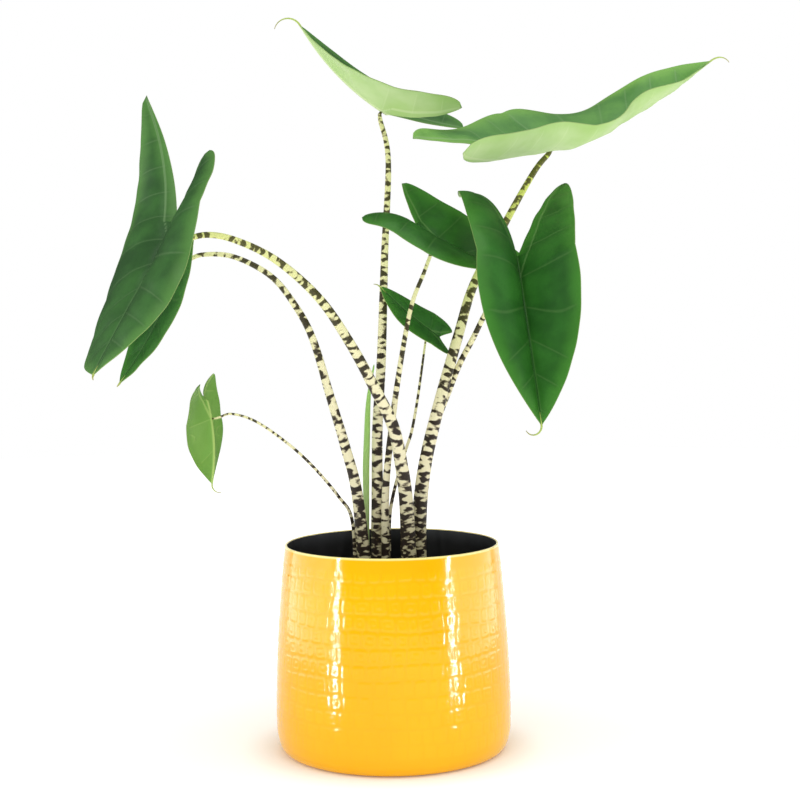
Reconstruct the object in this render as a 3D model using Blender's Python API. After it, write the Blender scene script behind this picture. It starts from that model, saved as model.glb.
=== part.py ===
"""Potted alocasia: arrow-shaped leaves on striped leaf stalks, in a yellow metal pot.

Run with: blender --background --python part.py
Units are metres, +Z is up, and the origin is the centre of the pot's flat foot.
Each leaf is worked out from its own blade sizes, the way it faces, and how far it
bends, folds and curls; each stalk runs from the soil to the back of its blade.
"""

import math

import bmesh
import bpy
from mathutils import Euler, Vector

# ---------------------------------------------------------------- driving dimensions
GAP = 0.0004                 # clearance between pieces that touch

POT_HEIGHT = 0.174
POT_RIM_RADIUS = 0.090
POT_BELLY_RADIUS = 0.099
POT_BELLY_HEIGHT = 0.030
POT_FOOT_RADIUS = 0.086
POT_WALL = 0.002
POT_FLOOR = 0.004
POT_CORNER_POWER = 2.9       # squareness of the rounded bottom corner
POT_TAPER_POWER = 1.74       # how late the wall leans in towards the rim
POT_CORNER_RINGS = 5
POT_WALL_RINGS = 6
POT_SIDES = 44

GROW_POT_BASE = POT_FLOOR + GAP
GROW_POT_HEIGHT = 0.130
GROW_POT_RIM_RADIUS = 0.081
GROW_POT_FOOT_RADIUS = 0.062
GROW_POT_WALL = 0.0015
GROW_POT_FLOOR = 0.003
GROW_POT_LIP = 0.003         # how far the stiff lip stands out
GROW_POT_LIP_HEIGHT = 0.010
GROW_POT_DRAIN_RADIUS = 0.012
GROW_POT_SIDES = 32

SOIL_TOP = 0.126             # soil level at the wall of the grow pot
SOIL_CROWN = 0.003           # how much higher the soil is in the middle
SOIL_RINGS = 3

BLADE_THICKNESS = 0.0010
BLADE_ROWS = 8               # rows from junction to tip
LOBE_ROWS = 4                # rows from the notch to the end of a lobe
HALF_COLUMNS = 3             # columns from midrib to margin

STALK_SIDES = 8
STALK_POINTS = 16
STALK_END_RADIUS = 0.0010
STALK_END_CLEARANCE = 0.0017 # from the middle of the blade to the stalk's end
STALK_APPROACH = 0.007       # how far behind the blade a stalk turns to meet it
STALK_ROOT_HEIGHT = SOIL_TOP + SOIL_CROWN + GAP

# Each blade: where its stalk joins it, which way it faces, and its shape.
#   junction   the point where the veins meet
#   facing     degrees: turn of its tip about Z, rise of its tip, roll about its length
#   length     junction to tip
#   bluntness  how late the margin closes in towards the tip
#   lobe       junction to the ends of the two back lobes, on average
#   uneven     share by which the right lobe is longer and the left lobe shorter
#   half       width of one half, midrib to margin
#   lobe_place how far out from the middle a lobe ends, as a share of the half width
#   notch      where the lobes part, as a share of the lobe length
#   bend       degrees of droop over the length
#   lobe_bend, fold, curl: degrees for the left half and the right half. A fold lifts
#              a half at the midrib, and a negative curl turns its margin down
#   tip_fold, lobe_fold: degrees of fold added towards the tip (left half, right half)
#              and towards the lobes
#   round      how round the ends of the left and right lobes are, from 0 to 1
#   twist      degrees of turn about the length by the tip
#   wave       height of the margin's waves, left and right, with waves, the radians of
#              them over the length, and wave_start, their phase in degrees
#   drip       the thread at the tip: its length, degrees of hook, and sideways turn
BLADES = {
    "blade_front_left": {
        "junction": (-0.168, -0.105, 0.425), "facing": (159, -40, 28),
        "length": 0.1507, "bluntness": 3.53, "lobe": 0.1151, "uneven": 0.39,
        "half": 0.0561, "lobe_place": 0.62, "notch": 0.18, "bend": 3,
        "lobe_bend": (-20, -39), "fold": (42, 41), "curl": (-58, -65),
        "tip_fold": (-56, -22), "lobe_fold": 19, "twist": 11, "round": (0.9, -0.35),
        "drip": (0.004, 60, 0)},
    "blade_behind_left": {
        "junction": (-0.170, -0.022, 0.414), "facing": (135, -70, 12),
        "length": 0.118, "bluntness": 1.9, "lobe": 0.036, "uneven": 0.0,
        "half": 0.050, "lobe_place": 0.45, "notch": 0.35, "bend": -22,
        "lobe_bend": (10, 10), "fold": (26, 10), "curl": (-21, -20),
        "tip_fold": (-15, -15), "lobe_fold": 0, "twist": -15, "round": (0, 0),
        "drip": (0.004, 90, 90)},
    "blade_top_left": {
        "junction": (-0.004, 0.035, 0.540), "facing": (92, 33, -10),
        "length": 0.100, "bluntness": 1.85, "lobe": 0.070, "uneven": 0.0,
        "half": 0.047, "lobe_place": 0.65, "notch": 0.10, "bend": -27,
        "lobe_bend": (-25, -6), "fold": (41, 31), "curl": (-21, -19),
        "tip_fold": (-18, -18), "lobe_fold": 21, "twist": -10, "round": (0.3, 0.3),
        "drip": (0.028, 135, 0)},
    "blade_top_right": {
        "junction": (0.141, 0.035, 0.508), "facing": (-54, 14, 31),
        "length": 0.1935, "bluntness": 2.1, "lobe": 0.129, "uneven": 0.0,
        "half": 0.0625, "lobe_place": 0.62, "notch": 0.25, "bend": -28,
        "lobe_bend": (21, 5), "fold": (-6, 7), "curl": (-16, 72),
        "tip_fold": (44, 12), "lobe_fold": 33, "twist": -26, "wave": (0.0170, -0.0060),
        "waves": (6.9, 10.5), "wave_start": (77, 6), "round": (-0.35, 1.0),
        "drip": (0.025, 75, 40)},
    "blade_middle": {
        "junction": (0.041, -0.010, 0.428), "facing": (-100, -31, 4),
        "length": 0.099, "bluntness": 1.9, "lobe": 0.062, "uneven": 0.03,
        "half": 0.047, "lobe_place": 0.57, "notch": 0.35, "bend": -28,
        "lobe_bend": (-29, 72), "fold": (30, 15), "curl": (8, -53),
        "tip_fold": (-7, -7), "lobe_fold": -4, "twist": 1, "round": (0.0, 1.0),
        "drip": (0.008, 90, 0)},
    "blade_right": {
        "junction": (0.104, -0.078, 0.393), "facing": (186, -51, 11),
        "length": 0.1260, "bluntness": 1.95, "lobe": 0.1172, "uneven": 0.0,
        "half": 0.0550, "lobe_place": 0.92, "notch": 0.19, "bend": 27,
        "lobe_bend": (26, 66), "fold": (34, 89), "curl": (4, -72),
        "tip_fold": (-24, -29), "lobe_fold": -25, "twist": 7, "round": (0.3, 0.4),
        "drip": (0.018, 160, 65)},
    "blade_small_middle": {
        "junction": (0.035, 0.034, 0.352), "facing": (109, 35, -47),
        "length": 0.060, "bluntness": 2.0, "lobe": 0.021, "uneven": 0.0,
        "half": 0.027, "lobe_place": 0.58, "notch": 0.50, "bend": -12,
        "lobe_bend": (12, 2), "fold": (12, 16), "curl": (9, -40),
        "tip_fold": (-21, -21), "lobe_fold": -1, "twist": 0, "round": (0.3, 0.3),
        "drip": (0.006, 60, 0)},
    "blade_small_left": {
        "junction": (-0.147, -0.030, 0.282), "facing": (90, -99, 14),
        "length": 0.0540, "bluntness": 1.45, "lobe": 0.0346, "uneven": 0.01,
        "half": 0.0407, "lobe_place": 0.81, "notch": 0.47, "bend": -19,
        "lobe_bend": (73, 49), "fold": (17, 39), "curl": (-18, -61),
        "tip_fold": (12, -9), "lobe_fold": -14, "twist": 12, "round": (0.8, 0.0),
        "drip": (0.012, 110, 0)},
}

DRIP_HALF_WIDTH = 0.0009     # half width of the thread at a blade's tip
DRIP_ROWS = 5

# Each stalk: its blade, its root in the soil (X, Y), the points that its curve passes
# on the way up, its radius at the root and near the blade, and how soon it thins.
STALKS = {
    "stalk_front_left": {
        "blade": "blade_front_left", "root": (0.0150, -0.007),
        "route": ((0.013, -0.009, 0.203), (0.009, -0.014, 0.241), (0.002, -0.020, 0.275),
                  (-0.013, -0.028, 0.307), (-0.031, -0.040, 0.342),
                  (-0.055, -0.054, 0.379), (-0.087, -0.070, 0.409),
                  (-0.118, -0.085, 0.425), (-0.141, -0.095, 0.429)),
        "radii": (0.0072, 0.0020), "thinning": 0.85},
    "stalk_behind_left": {
        "blade": "blade_behind_left", "root": (-0.0208, -0.004),
        "route": ((-0.028, -0.006, 0.213), (-0.038, -0.008, 0.257),
                  (-0.050, -0.011, 0.300), (-0.063, -0.014, 0.346),
                  (-0.077, -0.016, 0.374), (-0.097, -0.018, 0.399),
                  (-0.127, -0.020, 0.415), (-0.152, -0.021, 0.417)),
        "radii": (0.0070, 0.0017), "thinning": 0.62},
    "stalk_top_left": {
        "blade": "blade_top_left", "root": (-0.0135, 0.010),
        "route": ((-0.012, 0.011, 0.201), (-0.011, 0.017, 0.270), (-0.007, 0.022, 0.328),
                  (-0.003, 0.029, 0.419), (0.001, 0.033, 0.498)),
        "radii": (0.0056, 0.0019), "thinning": 1.10},
    "stalk_top_right": {
        "blade": "blade_top_right", "root": (0.0225, 0.009),
        "route": ((0.0235, 0.008, 0.190), (0.029, 0.006, 0.239), (0.043, 0.010, 0.295),
                  (0.059, 0.016, 0.349), (0.073, 0.022, 0.392), (0.103, 0.029, 0.448),
                  (0.126, 0.034, 0.487)),
        "radii": (0.0070, 0.0022), "thinning": 1.00},
    "stalk_middle": {
        "blade": "blade_middle", "root": (-0.0045, 0.0),
        "route": ((-0.005, 0.0, 0.209), (0.002, -0.001, 0.277), (0.010, -0.006, 0.329),
                  (0.019, -0.009, 0.373), (0.030, -0.011, 0.401)),
        "radii": (0.0042, 0.0014), "thinning": 0.80},
    "stalk_right": {
        "blade": "blade_right", "root": (0.0225, 0.024),
        "route": ((0.026, 0.023, 0.200), (0.035, 0.021, 0.259), (0.052, 0.020, 0.305),
                  (0.060, 0.019, 0.324), (0.071, 0.013, 0.345), (0.082, -0.005, 0.368),
                  (0.093, -0.042, 0.385)),
        "radii": (0.0040, 0.0016), "thinning": 1.00},
    "stalk_small_middle": {
        "blade": "blade_small_middle", "root": (-0.002, 0.012),
        "route": ((-0.002, 0.011, 0.185), (0.002, 0.012, 0.214), (0.013, 0.015, 0.251),
                  (0.018, 0.017, 0.266), (0.023, 0.020, 0.291), (0.027, 0.025, 0.316)),
        "radii": (0.0019, 0.0009), "thinning": 0.80},
    "stalk_small_left": {
        "blade": "blade_small_left", "root": (-0.031, 0.009),
        "route": ((-0.033, 0.008, 0.190), (-0.045, 0.002, 0.214), (-0.068, -0.008, 0.243),
                  (-0.090, -0.017, 0.264), (-0.112, -0.025, 0.280), (-0.130, -0.029, 0.286)),
        "radii": (0.0018, 0.0009), "thinning": 0.80},
}

# The pale sheath of the next leaf, which stands beside the tallest stalk.
SHEATH_ROUTE = ((-0.021, 0.013, STALK_ROOT_HEIGHT), (-0.021, 0.010, 0.195),
                (-0.021, 0.010, 0.233), (-0.020, 0.010, 0.258),
                (-0.018, 0.009, 0.295), (-0.013, 0.009, 0.324))
SHEATH_RADII = ((0.0, 0.0016), (0.25, 0.0020), (0.55, 0.0029), (0.80, 0.0022),
                (1.0, 0.0005))

# Colour, roughness and metallic value of each material.
FINISHES = {
    "yellow_enamel": ((0.83, 0.46, 0.03), 0.22, 0.0),
    "black_plastic": ((0.012, 0.012, 0.013), 0.45, 0.0),
    "potting_mix": ((0.030, 0.019, 0.012), 0.95, 0.0),
    "leaf_green": ((0.035, 0.125, 0.030), 0.38, 0.0),
    "striped_stalk": ((0.36, 0.33, 0.16), 0.50, 0.0),
    "sheath_green": ((0.34, 0.50, 0.12), 0.50, 0.0),
}


def material(name):
    """Make or find the material of one finish."""
    if name in bpy.data.materials:
        return bpy.data.materials[name]
    colour, roughness, metallic = FINISHES[name]
    made = bpy.data.materials.new(name)
    made.use_nodes = True
    shader = made.node_tree.nodes["Principled BSDF"]
    shader.inputs["Base Color"].default_value = (*colour, 1.0)
    shader.inputs["Roughness"].default_value = roughness
    shader.inputs["Metallic"].default_value = metallic
    made.diffuse_color = (*colour, 1.0)
    return made


def keep(name, bm, finish):
    """Turn a bmesh into a named, smooth-shaded object."""
    bmesh.ops.recalc_face_normals(bm, faces=bm.faces)
    mesh = bpy.data.meshes.new(name)
    bm.to_mesh(mesh)
    bm.free()
    mesh.materials.append(material(finish))
    mesh.shade_smooth()
    mesh.set_sharp_from_angle(angle=math.radians(40))
    thing = bpy.data.objects.new(name, mesh)
    bpy.context.scene.collection.objects.link(thing)
    return thing


def loft(bm, rings, closed_loop=False):
    """Bridge rings of equal length, and cap the ends unless the rings form a loop."""
    loops = [[bm.verts.new(point) for point in ring] for ring in rings]
    count = len(loops[0])
    pairs = list(zip(loops, loops[1:]))
    if closed_loop:
        pairs.append((loops[-1], loops[0]))
    for low, high in pairs:
        for i in range(count):
            j = (i + 1) % count
            bm.faces.new((low[i], low[j], high[j], high[i]))
    if not closed_loop:
        bm.faces.new(loops[0][::-1])
        bm.faces.new(loops[-1])


def turned(name, profile, sides, finish, closed_loop=False):
    """Turn a profile of (radius, height) points about the Z axis."""
    bm = bmesh.new()
    rings = []
    for radius, height in profile:
        ring = []
        for i in range(sides):
            angle = 2 * math.pi * i / sides
            ring.append((radius * math.cos(angle), radius * math.sin(angle), height))
        rings.append(ring)
    loft(bm, rings, closed_loop)
    return keep(name, bm, finish)


# ---------------------------------------------------------------- pots and soil
def pot_radius(height):
    """Outer radius of the yellow pot: a rounded bottom corner, then a late taper."""
    if height < POT_BELLY_HEIGHT:
        drop = (POT_BELLY_HEIGHT - height) / POT_BELLY_HEIGHT
        share = (1 - drop ** POT_CORNER_POWER) ** (1 / POT_CORNER_POWER)
        return POT_FOOT_RADIUS + (POT_BELLY_RADIUS - POT_FOOT_RADIUS) * share
    rise = (height - POT_BELLY_HEIGHT) / (POT_HEIGHT - POT_BELLY_HEIGHT)
    return POT_BELLY_RADIUS - (POT_BELLY_RADIUS - POT_RIM_RADIUS) * rise ** POT_TAPER_POWER


def yellow_pot():
    """The sheet-metal pot, as one turned shell with a flat foot."""
    outer = []
    for i in range(POT_CORNER_RINGS):
        height = POT_BELLY_HEIGHT * (1 - math.cos(math.pi / 2 * i / POT_CORNER_RINGS))
        outer.append((pot_radius(height), height))
    for i in range(POT_WALL_RINGS + 1):
        height = POT_BELLY_HEIGHT + (POT_HEIGHT - POT_BELLY_HEIGHT) * i / POT_WALL_RINGS
        outer.append((pot_radius(height), height))
    inner = [(radius - POT_WALL, height) for radius, height in outer
             if height > POT_FLOOR * 1.5]
    inner.insert(0, (POT_FOOT_RADIUS - POT_WALL, POT_FLOOR))
    turned("yellow_pot", outer + inner[::-1], POT_SIDES, "yellow_enamel")


def grow_pot():
    """The black nursery pot inside, with a stiff lip and a drain hole in its floor."""
    base = GROW_POT_BASE
    top = base + GROW_POT_HEIGHT
    under_lip = top - GROW_POT_LIP_HEIGHT
    lean = (GROW_POT_RIM_RADIUS - GROW_POT_FOOT_RADIUS) / GROW_POT_HEIGHT
    wall_at_lip = GROW_POT_FOOT_RADIUS + lean * (under_lip - base)
    floor = base + GROW_POT_FLOOR
    wall_at_floor = GROW_POT_FOOT_RADIUS + lean * GROW_POT_FLOOR
    profile = [
        (GROW_POT_DRAIN_RADIUS, base),
        (GROW_POT_FOOT_RADIUS, base),
        (wall_at_lip, under_lip),
        (wall_at_lip + GROW_POT_LIP, under_lip),
        (GROW_POT_RIM_RADIUS + GROW_POT_LIP, top),
        (GROW_POT_RIM_RADIUS - GROW_POT_WALL, top),
        (wall_at_floor - GROW_POT_WALL, floor),
        (GROW_POT_DRAIN_RADIUS, floor),
    ]
    turned("grow_pot", profile, GROW_POT_SIDES, "black_plastic", closed_loop=True)


def grow_pot_inside(height):
    """Inner radius of the grow pot at a height, less the gap to the soil."""
    lean = (GROW_POT_RIM_RADIUS - GROW_POT_FOOT_RADIUS) / GROW_POT_HEIGHT
    outside = GROW_POT_FOOT_RADIUS + lean * (height - GROW_POT_BASE)
    return outside - GROW_POT_WALL - 2 * GAP


def soil():
    """The potting mix that fills the grow pot, slightly higher in the middle."""
    bottom = GROW_POT_BASE + GROW_POT_FLOOR + GAP
    profile = [(grow_pot_inside(bottom), bottom)]
    edge = grow_pot_inside(SOIL_TOP)
    for i in range(SOIL_RINGS + 1):
        share = 1 - i / (SOIL_RINGS + 0.5)
        height = SOIL_TOP + SOIL_CROWN * (1 - share ** 2)
        profile.append((edge * share, height))
    turned("potting_soil", profile, GROW_POT_SIDES, "potting_mix")


# ---------------------------------------------------------------- blades
def arc(bend_per_metre, distance):
    """Where a strip that bends evenly downwards gets to: forwards, and up."""
    if abs(bend_per_metre) < 1e-6:
        return distance, 0.0
    turn = bend_per_metre * distance
    return math.sin(turn) / bend_per_metre, (math.cos(turn) - 1) / bend_per_metre


def lobe_length(shape, side):
    """Length of the back lobe on one side: -1 is left and +1 is right."""
    return shape["lobe"] * (1 + side * shape["uneven"])


def notch_depth(shape):
    """How far behind the junction the two lobes part."""
    return shape["lobe"] * shape["notch"]


def roundness(shape, side):
    """How round the end of a lobe is: 0 is pointed and 1 is full."""
    return shape["round"][0 if side < 0 else 1]


def margin(shape, side, along):
    """Distance from the middle line to the outer margin, flat."""
    half = shape["half"]
    if along > shape["length"]:
        share = (along - shape["length"]) / shape["drip"][0]
        return DRIP_HALF_WIDTH * max(1 - share, 0) ** 0.5
    if along >= 0:
        share = along / shape["length"]
        return max(half * (1 - share ** shape["bluntness"]) ** 0.92, DRIP_HALF_WIDTH)
    share = min(-along / lobe_length(shape, side), 1)
    tip = shape["lobe_place"] * half
    fullness = 2.4 + 3 * roundness(shape, side)
    return tip + (half - tip) * math.sqrt(1 - share ** fullness)


def inner_edge(shape, side, along):
    """Distance from the middle line to a lobe's inner edge, flat."""
    start = notch_depth(shape)
    share = (-along - start) / (lobe_length(shape, side) - start)
    if share <= 0:
        return 0.0
    closing = 1 - 0.5 * roundness(shape, side)
    end = shape["lobe_place"] * shape["half"]
    return end * (1 - (1 - min(share, 1) ** 0.85) ** closing)


def turn_of(shape):
    """The way a blade faces, as a rotation matrix."""
    heading, pitch, roll = (math.radians(angle) for angle in shape["facing"])
    about_z = Euler((0, 0, heading)).to_matrix()
    about_x = Euler((pitch, 0, 0)).to_matrix()
    about_y = Euler((0, roll, 0)).to_matrix()
    return about_z @ about_x @ about_y


def drip_point(shape, side, past_tip, out):
    """Place a point of the thread that hooks down from the blade's tip."""
    length, hook, sideways = shape["drip"]
    droop = math.radians(shape["bend"])
    forward, up = arc(droop / shape["length"], shape["length"])
    start = Vector((0, forward, up))
    ahead = Vector((0, math.cos(droop), -math.sin(droop)))
    above = Vector((0, math.sin(droop), math.cos(droop)))
    lean = math.radians(shape["twist"] + sideways)
    towards = Vector((math.sin(lean), 0, 0)) - above * math.cos(lean)
    hook_per_metre = math.radians(hook) / length
    turned_by = hook_per_metre * past_tip
    place = start + ahead * (math.sin(turned_by) / hook_per_metre)
    place += towards * ((1 - math.cos(turned_by)) / hook_per_metre)
    tangent = ahead * math.cos(turned_by) + towards * math.sin(turned_by)
    twist = math.radians(shape["twist"])
    across = Vector((math.cos(twist), 0, 0)) - above * math.sin(twist)
    across = (across - tangent * across.dot(tangent)).normalized()
    return turn_of(shape) @ (place + across * side * out) + Vector(shape["junction"])


def blade_point(shape, side, along, out):
    """Place a flat point of a blade (along its length, out from the middle) in space."""
    if along > shape["length"]:
        return drip_point(shape, side, along - shape["length"], out)
    half = shape["half"]
    which = 0 if side < 0 else 1
    forward_share = min(max(along / shape["length"], 0), 1)
    lobe_share = min(max(-along / shape["lobe"], 0), 1)

    # The middle line droops evenly to the notch, and each lobe bends on its own.
    notch_at = -notch_depth(shape)
    bend = math.radians(shape["bend"]) / shape["length"]
    lobe_bend = math.radians(shape["lobe_bend"][which]) / shape["lobe"]
    forward, up = arc(bend, max(along, notch_at))
    droop = bend * max(along, notch_at)
    if along < notch_at:
        more_forward, more_up = arc(lobe_bend, along - notch_at)
        forward += more_forward * math.cos(droop) + more_up * math.sin(droop)
        up += more_up * math.cos(droop) - more_forward * math.sin(droop)
        droop += lobe_bend * (along - notch_at)

    # Each half folds at the midrib and curls evenly out to the margin.
    fold = math.radians(shape["fold"][which] + shape["tip_fold"][which] * forward_share
                        + shape["lobe_fold"] * lobe_share)
    curl = math.radians(shape["curl"][which])
    turned_by = fold + curl * out / half
    across = half / curl * (math.sin(turned_by) - math.sin(fold))
    lift = half / curl * (math.cos(fold) - math.cos(turned_by))
    if "wave" in shape:
        phase = shape["waves"][which] * along / shape["length"]
        phase += math.radians(shape["wave_start"][which])
        wave = shape["wave"][which] * (out / half) ** 2 * math.sin(phase)
    else:
        wave = 0.0
    across -= wave * math.sin(turned_by)
    lift += wave * math.cos(turned_by)

    # The section twists about the middle line and stands square to it.
    twist = math.radians(shape["twist"]) * along / shape["length"]
    x = side * across * math.cos(twist) + lift * math.sin(twist)
    z = lift * math.cos(twist) - side * across * math.sin(twist)
    point = Vector((x, forward + z * math.sin(droop), up + z * math.cos(droop)))
    return turn_of(shape) @ point + Vector(shape["junction"])


def blade_rows(shape, side):
    """Rows of one half, from the lobe's end to the tip, each from the inside out."""
    lobe = lobe_length(shape, side)
    notch_at = notch_depth(shape)
    places = []
    for i in range(LOBE_ROWS):
        share = 1 - (1 - i / LOBE_ROWS) ** 1.6
        places.append(-lobe + (lobe - notch_at) * share)
    places += [-notch_at, -notch_at / 2]
    length = shape["length"]
    places += [length * (i / BLADE_ROWS) ** 0.9 for i in range(BLADE_ROWS + 1)]
    places += [length + shape["drip"][0] * (i + 1) / DRIP_ROWS for i in range(DRIP_ROWS)]
    rows = []
    for along in places:
        inside = inner_edge(shape, side, along)
        outside = margin(shape, side, along)
        steps = HALF_COLUMNS
        if outside - inside < 1e-4:
            steps = 0
        elif outside - inside <= DRIP_HALF_WIDTH:
            steps = 1
        row = []
        for i in range(steps + 1):
            out = inside + (outside - inside) * i / max(steps, 1)
            row.append(blade_point(shape, side, along, out))
        rows.append(row)
    return rows


def blade(name, shape):
    """One leaf blade: a sheet of two halves, thickened into a closed solid."""
    bm = bmesh.new()
    for side in (-1, 1):
        rows = [[bm.verts.new(point) for point in row] for row in blade_rows(shape, side)]
        for near, far in zip(rows, rows[1:]):
            for i in range(HALF_COLUMNS):
                corners = [near[min(i, len(near) - 1)], near[min(i + 1, len(near) - 1)],
                           far[min(i + 1, len(far) - 1)], far[min(i, len(far) - 1)]]
                corners = list(dict.fromkeys(corners))
                if side < 0:
                    corners.reverse()
                if len(corners) > 2:
                    bm.faces.new(corners)
    bmesh.ops.remove_doubles(bm, verts=bm.verts, dist=0.00002)
    thing = keep(name, bm, "leaf_green")
    thicken = thing.modifiers.new("thickness", "SOLIDIFY")
    thicken.thickness = BLADE_THICKNESS
    thicken.offset = 0


# ---------------------------------------------------------------- stalks
def smooth_curve(points, count):
    """Points at even steps along a Catmull-Rom curve through the given points."""
    points = [Vector(point) for point in points]
    points = [2 * points[0] - points[1]] + points + [2 * points[-1] - points[-2]]
    fine = []
    for a, b, c, d in zip(points, points[1:], points[2:], points[3:]):
        for step in range(12):
            t = step / 12
            fine.append(0.5 * (2 * b + (c - a) * t + (2 * a - 5 * b + 4 * c - d) * t ** 2
                               + (3 * b - a - 3 * c + d) * t ** 3))
    fine.append(points[-2])
    lengths = [0.0]
    for near, far in zip(fine, fine[1:]):
        lengths.append(lengths[-1] + (far - near).length)
    chosen = []
    place = 0
    for i in range(count):
        target = lengths[-1] * i / (count - 1)
        while place < len(fine) - 2 and lengths[place + 1] < target:
            place += 1
        share = (target - lengths[place]) / (lengths[place + 1] - lengths[place])
        chosen.append(fine[place].lerp(fine[place + 1], min(share, 1)))
    return chosen


def tube(name, centres, radii, finish):
    """A round tube with a radius at each centre, and flat ends."""
    rings = []
    side = Vector((0, -1, 0))
    for i, centre in enumerate(centres):
        before = centres[max(i - 1, 0)]
        after = centres[min(i + 1, len(centres) - 1)]
        ahead = (after - before).normalized()
        side = (side - ahead * side.dot(ahead)).normalized()
        other = ahead.cross(side)
        ring = []
        for k in range(STALK_SIDES):
            angle = 2 * math.pi * k / STALK_SIDES
            ring.append(centre + radii[i] * (side * math.cos(angle)
                                             + other * math.sin(angle)))
        rings.append(ring)
    bm = bmesh.new()
    loft(bm, rings)
    keep(name, bm, finish)


def stalk(name, plan):
    """One leaf stalk, from the soil to just behind its blade."""
    shape = BLADES[plan["blade"]]
    junction = Vector(shape["junction"])
    behind = -(turn_of(shape) @ Vector((0, 0, 1)))
    root = Vector((*plan["root"], STALK_ROOT_HEIGHT))
    back = (Vector(plan["route"][-1]) - junction).normalized()
    approach = junction + (behind + back).normalized() * STALK_APPROACH
    end = junction + behind * STALK_END_CLEARANCE
    centres = smooth_curve([root, *plan["route"], approach, end], STALK_POINTS)
    low, high = plan["radii"]
    radii = []
    for i in range(STALK_POINTS):
        share = i / (STALK_POINTS - 1)
        radii.append(low + (high - low) * share ** plan["thinning"])
    radii[-1] = min(high, STALK_END_RADIUS)
    tube(name, centres, radii, "striped_stalk")


def sheath():
    """The pale sheath of the next leaf: a slim tapering tube."""
    centres = smooth_curve(SHEATH_ROUTE, STALK_POINTS)
    radii = []
    for i in range(STALK_POINTS):
        share = i / (STALK_POINTS - 1)
        for (start, thin), (finish, thick) in zip(SHEATH_RADII, SHEATH_RADII[1:]):
            if start <= share <= finish:
                mix = (share - start) / (finish - start)
                radius = thin + (thick - thin) * mix
        radii.append(radius)
    tube("new_leaf_sheath", centres, radii, "sheath_green")


def main():
    for thing in list(bpy.data.objects):
        bpy.data.objects.remove(thing, do_unlink=True)
    yellow_pot()
    grow_pot()
    soil()
    for name, shape in BLADES.items():
        blade(name, shape)
    for name, plan in STALKS.items():
        stalk(name, plan)
    sheath()


main()
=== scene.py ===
# %% [markdown]
# A potted alocasia. The model of its parts comes in as a fixed frame: the pot, the
# nursery pot, the soil, and a plain solid for each blade and stalk. This script makes
# the surfaces that are seen, in the same place and at the same size. All lengths are
# metres, +Z is up, and the front of the plant looks along -Y.

# %% Load the frame
import math

import bmesh
import bpy
import numpy as np
from mathutils import Matrix, Vector


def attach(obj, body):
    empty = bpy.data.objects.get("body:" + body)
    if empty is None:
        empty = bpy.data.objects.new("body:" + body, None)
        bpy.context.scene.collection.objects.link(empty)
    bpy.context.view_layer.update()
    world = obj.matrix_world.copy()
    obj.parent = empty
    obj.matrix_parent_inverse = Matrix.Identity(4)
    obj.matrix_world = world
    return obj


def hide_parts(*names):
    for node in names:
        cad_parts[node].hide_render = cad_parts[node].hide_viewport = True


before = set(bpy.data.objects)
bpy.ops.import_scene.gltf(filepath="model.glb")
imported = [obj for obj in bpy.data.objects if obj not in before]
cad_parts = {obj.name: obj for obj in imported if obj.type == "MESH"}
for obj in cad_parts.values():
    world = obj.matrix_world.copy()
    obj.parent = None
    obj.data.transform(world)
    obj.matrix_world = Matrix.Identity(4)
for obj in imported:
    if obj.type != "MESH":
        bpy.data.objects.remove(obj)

scene = bpy.context.scene
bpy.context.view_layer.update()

# %% [markdown]
# Colours are easiest to judge as they look on a screen, but a shader works in linear
# light. One helper turns a screen colour into a linear one, so that every colour below
# can be written the way a painter would name it.


# %% Colours
def screen(red, green, blue):
    """A screen colour from 0 to 255 as a linear colour with alpha."""
    linear = []
    for value in (red, green, blue):
        share = value / 255
        if share <= 0.04045:
            linear.append(share / 12.92)
        else:
            linear.append(((share + 0.055) / 1.055) ** 2.4)
    return (*linear, 1.0)


print("mid grey in linear light", round(screen(128, 128, 128)[0], 3))

# %% [markdown]
# A material is a network of nodes, and most of it is arithmetic. Wrapping a socket in a
# small class lets that arithmetic be written as ordinary Python: `1 - mask` adds the
# Math node that it needs. Any other node comes from `node`, which takes the node's
# type, its settings, and its inputs, and gives back its first output.


# %% Shader maths as expressions
class Value:
    """One output socket of a node, with the usual operators."""

    def __init__(self, tree, socket):
        self.tree = tree
        self.socket = socket

    def maths(self, operation, *others):
        inputs = dict(enumerate((self, *others)))
        return self.tree.node("ShaderNodeMath", {"operation": operation}, inputs)

    def __add__(self, other):
        return self.maths("ADD", other)

    def __sub__(self, other):
        return self.maths("SUBTRACT", other)

    def __rsub__(self, other):
        return self.tree.number(other).maths("SUBTRACT", self)

    def __mul__(self, other):
        return self.maths("MULTIPLY", other)

    __radd__ = __add__
    __rmul__ = __mul__

    def step(self, low, high):
        """0 below low, 1 above high, and an even slope between; low may be the larger."""
        settings = {"clamp": True, "interpolation_type": "SMOOTHSTEP"}
        if low > high:
            return 1 - self.step(high, low)
        inputs = {"Value": self, "From Min": low, "From Max": high}
        return self.tree.node("ShaderNodeMapRange", settings, inputs)


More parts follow.
